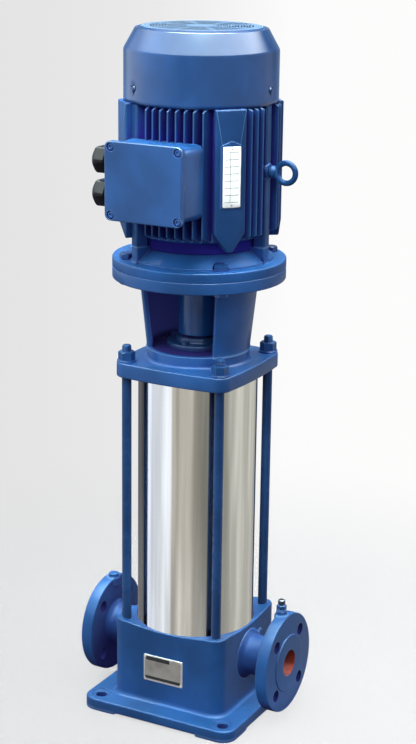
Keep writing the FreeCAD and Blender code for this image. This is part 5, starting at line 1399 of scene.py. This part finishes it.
SOFT_LOW = (0.12, 0.12, 0.15, 1.0)
SOFT_MIDDLE = [(0.00, (0.40, 0.40, 0.45)), (0.25, (1.00, 1.04, 1.10)), (0.50, (0.48, 0.50, 0.54)),
               (0.75, (0.43, 0.48, 0.67)), (1.00, (0.40, 0.40, 0.45))]
SOFT_HIGH = [(0.00, (1.0, 1.02, 1.05)), (0.25, (1.25, 1.3, 1.35)), (0.42, (1.3, 1.35, 1.4)),
             (0.60, (1.4, 1.4, 1.4)), (0.78, (0.9, 0.85, 0.9)), (1.00, (1.0, 1.02, 1.05))]
SOFT_TOP = (1.32, 1.40, 1.44, 1.0)
GROUND_SKY = (0.10, 0.09, 0.13, 1.0)

# Sines of the elevations between which each level of the sky gives way to the next
LOW_START = (-0.72, -0.55)
MIDDLE_START = (-0.262, -0.13)
HIGH_START = (0.35, 0.58)
TOP_START = (0.80, 0.94)


def direction(azimuth, elevation):
    """Unit vector towards an azimuth, 0 the front and a quarter turn the right, and an elevation."""
    return Vector((math.sin(azimuth) * math.cos(elevation), -math.cos(azimuth) * math.cos(elevation),
                   math.sin(elevation)))


def studio_sky():
    """World as a studio: what the camera sees is the pale page, a little greyer on its left. Reflections see
    one set of panels and soft light comes from another, both placed by azimuth and height."""
    world = bpy.data.worlds.new("studio")
    world.use_nodes = True
    sky = Graph(world.node_tree)
    x, y, z = sky.split(sky.node("ShaderNodeTexCoord", {}, out="Generated"))
    azimuth = x.math("ARCTAN2", y * -1.0) / TURN + 0.5

    def stacked(low, middle, high, top):
        """Four levels of sky blended by height above a dark ground."""
        room = sky.mix(z.above(*LOW_START), GROUND_SKY, low)
        room = sky.mix(z.above(*MIDDLE_START), room, sky.ramp(middle, azimuth))
        room = sky.mix(z.above(*HIGH_START), room, sky.ramp(high, azimuth))
        return sky.mix(z.above(*TOP_START), room, top)

    soft = stacked(SOFT_LOW, SOFT_MIDDLE, SOFT_HIGH, SOFT_TOP)
    panels = stacked(sky.ramp(LOW_SKY, azimuth), MIDDLE_SKY, HIGH_SKY, TOP_SKY)
    room = sky.mix(sky.ray("Glossy"), soft, panels)
    across = x * math.cos(VIEW_AZIMUTH) + y * math.sin(VIEW_AZIMUTH)
    page = sky.ramp(PAGE, across.above(*PAGE_FADE))
    seen = sky.mix(sky.ray("Camera").math("MAXIMUM", sky.ray("Transmission")), room, page)
    background = sky.nodes["Background"]
    sky.feed(background.inputs["Color"], seen)
    background.inputs["Strength"].default_value = 1.0
    bpy.context.scene.world = world


def floor():
    """Round white floor that fades out. The camera sees only a part of its shadow, and reflections and soft
    light mostly pass it."""
    mesh = bpy.data.meshes.new("floor")
    angle = np.linspace(0, TURN, 64, endpoint=False)
    mesh.from_pydata(polar(FLOOR_R, angle, 0.0).tolist(), [], [tuple(range(64))])
    disc = placed("floor", mesh)
    look = Look("floor_white", Base_Color=(0.52, 0.52, 0.53, 1), Roughness=0.9)
    distance = look.node("ShaderNodeVectorMath", {"operation": "LENGTH"}, look.place, out="Value")
    fade = 1.0 - distance.above(*FLOOR_FADE)
    for kind, hidden in (("Camera", 0.7), ("Glossy", 0.85), ("Diffuse", 0.8)):
        fade = fade * (1.0 - look.ray(kind) * hidden)
    look.set(Alpha=fade)
    mesh.materials.append(look.material)


def lamp(name, azimuth, elevation, distance, size, power, aim):
    """Soft square panel, placed in degrees and aimed at a height on the shaft axis."""
    data = bpy.data.lights.new(name, "AREA")
    data.shape = "RECTANGLE"
    data.size = data.size_y = size
    data.energy = power
    panel = placed(name, data)
    back = direction(math.radians(azimuth), math.radians(elevation))
    panel.location = Vector((0, 0, aim)) + back * distance
    panel.visible_glossy = False
    panel.rotation_mode = "QUATERNION"
    panel.rotation_quaternion = back.to_track_quat("Z", "Y")


def camera():
    """The photograph's view: azimuth and elevation of the camera seen from the pump, and its roll."""
    back = direction(VIEW_AZIMUTH, VIEW_ELEVATION)
    right = Vector((math.cos(VIEW_AZIMUTH), math.sin(VIEW_AZIMUTH), 0))
    up = back.cross(right)
    target = right * AIM_RIGHT + Vector((0, 0, AIM_HEIGHT))
    c, s = math.cos(VIEW_ROLL), math.sin(VIEW_ROLL)
    turn = Matrix((right * c + up * s, up * c - right * s, back)).transposed()
    data = bpy.data.cameras.new("camera")
    data.sensor_width = SENSOR
    data.lens = FOCAL_PIXELS / FRAME_PIXELS * SENSOR
    seen = placed("camera", data)
    seen.matrix_world = Matrix.Translation(target + back * VIEW_DISTANCE) @ turn.to_4x4()
    bpy.context.scene.camera = seen


studio_sky()
floor()
lamp("key", azimuth=4, elevation=42, distance=1.15, size=0.6, power=10.5, aim=0.85)
camera()
bpy.context.scene.view_settings.view_transform = "Standard"
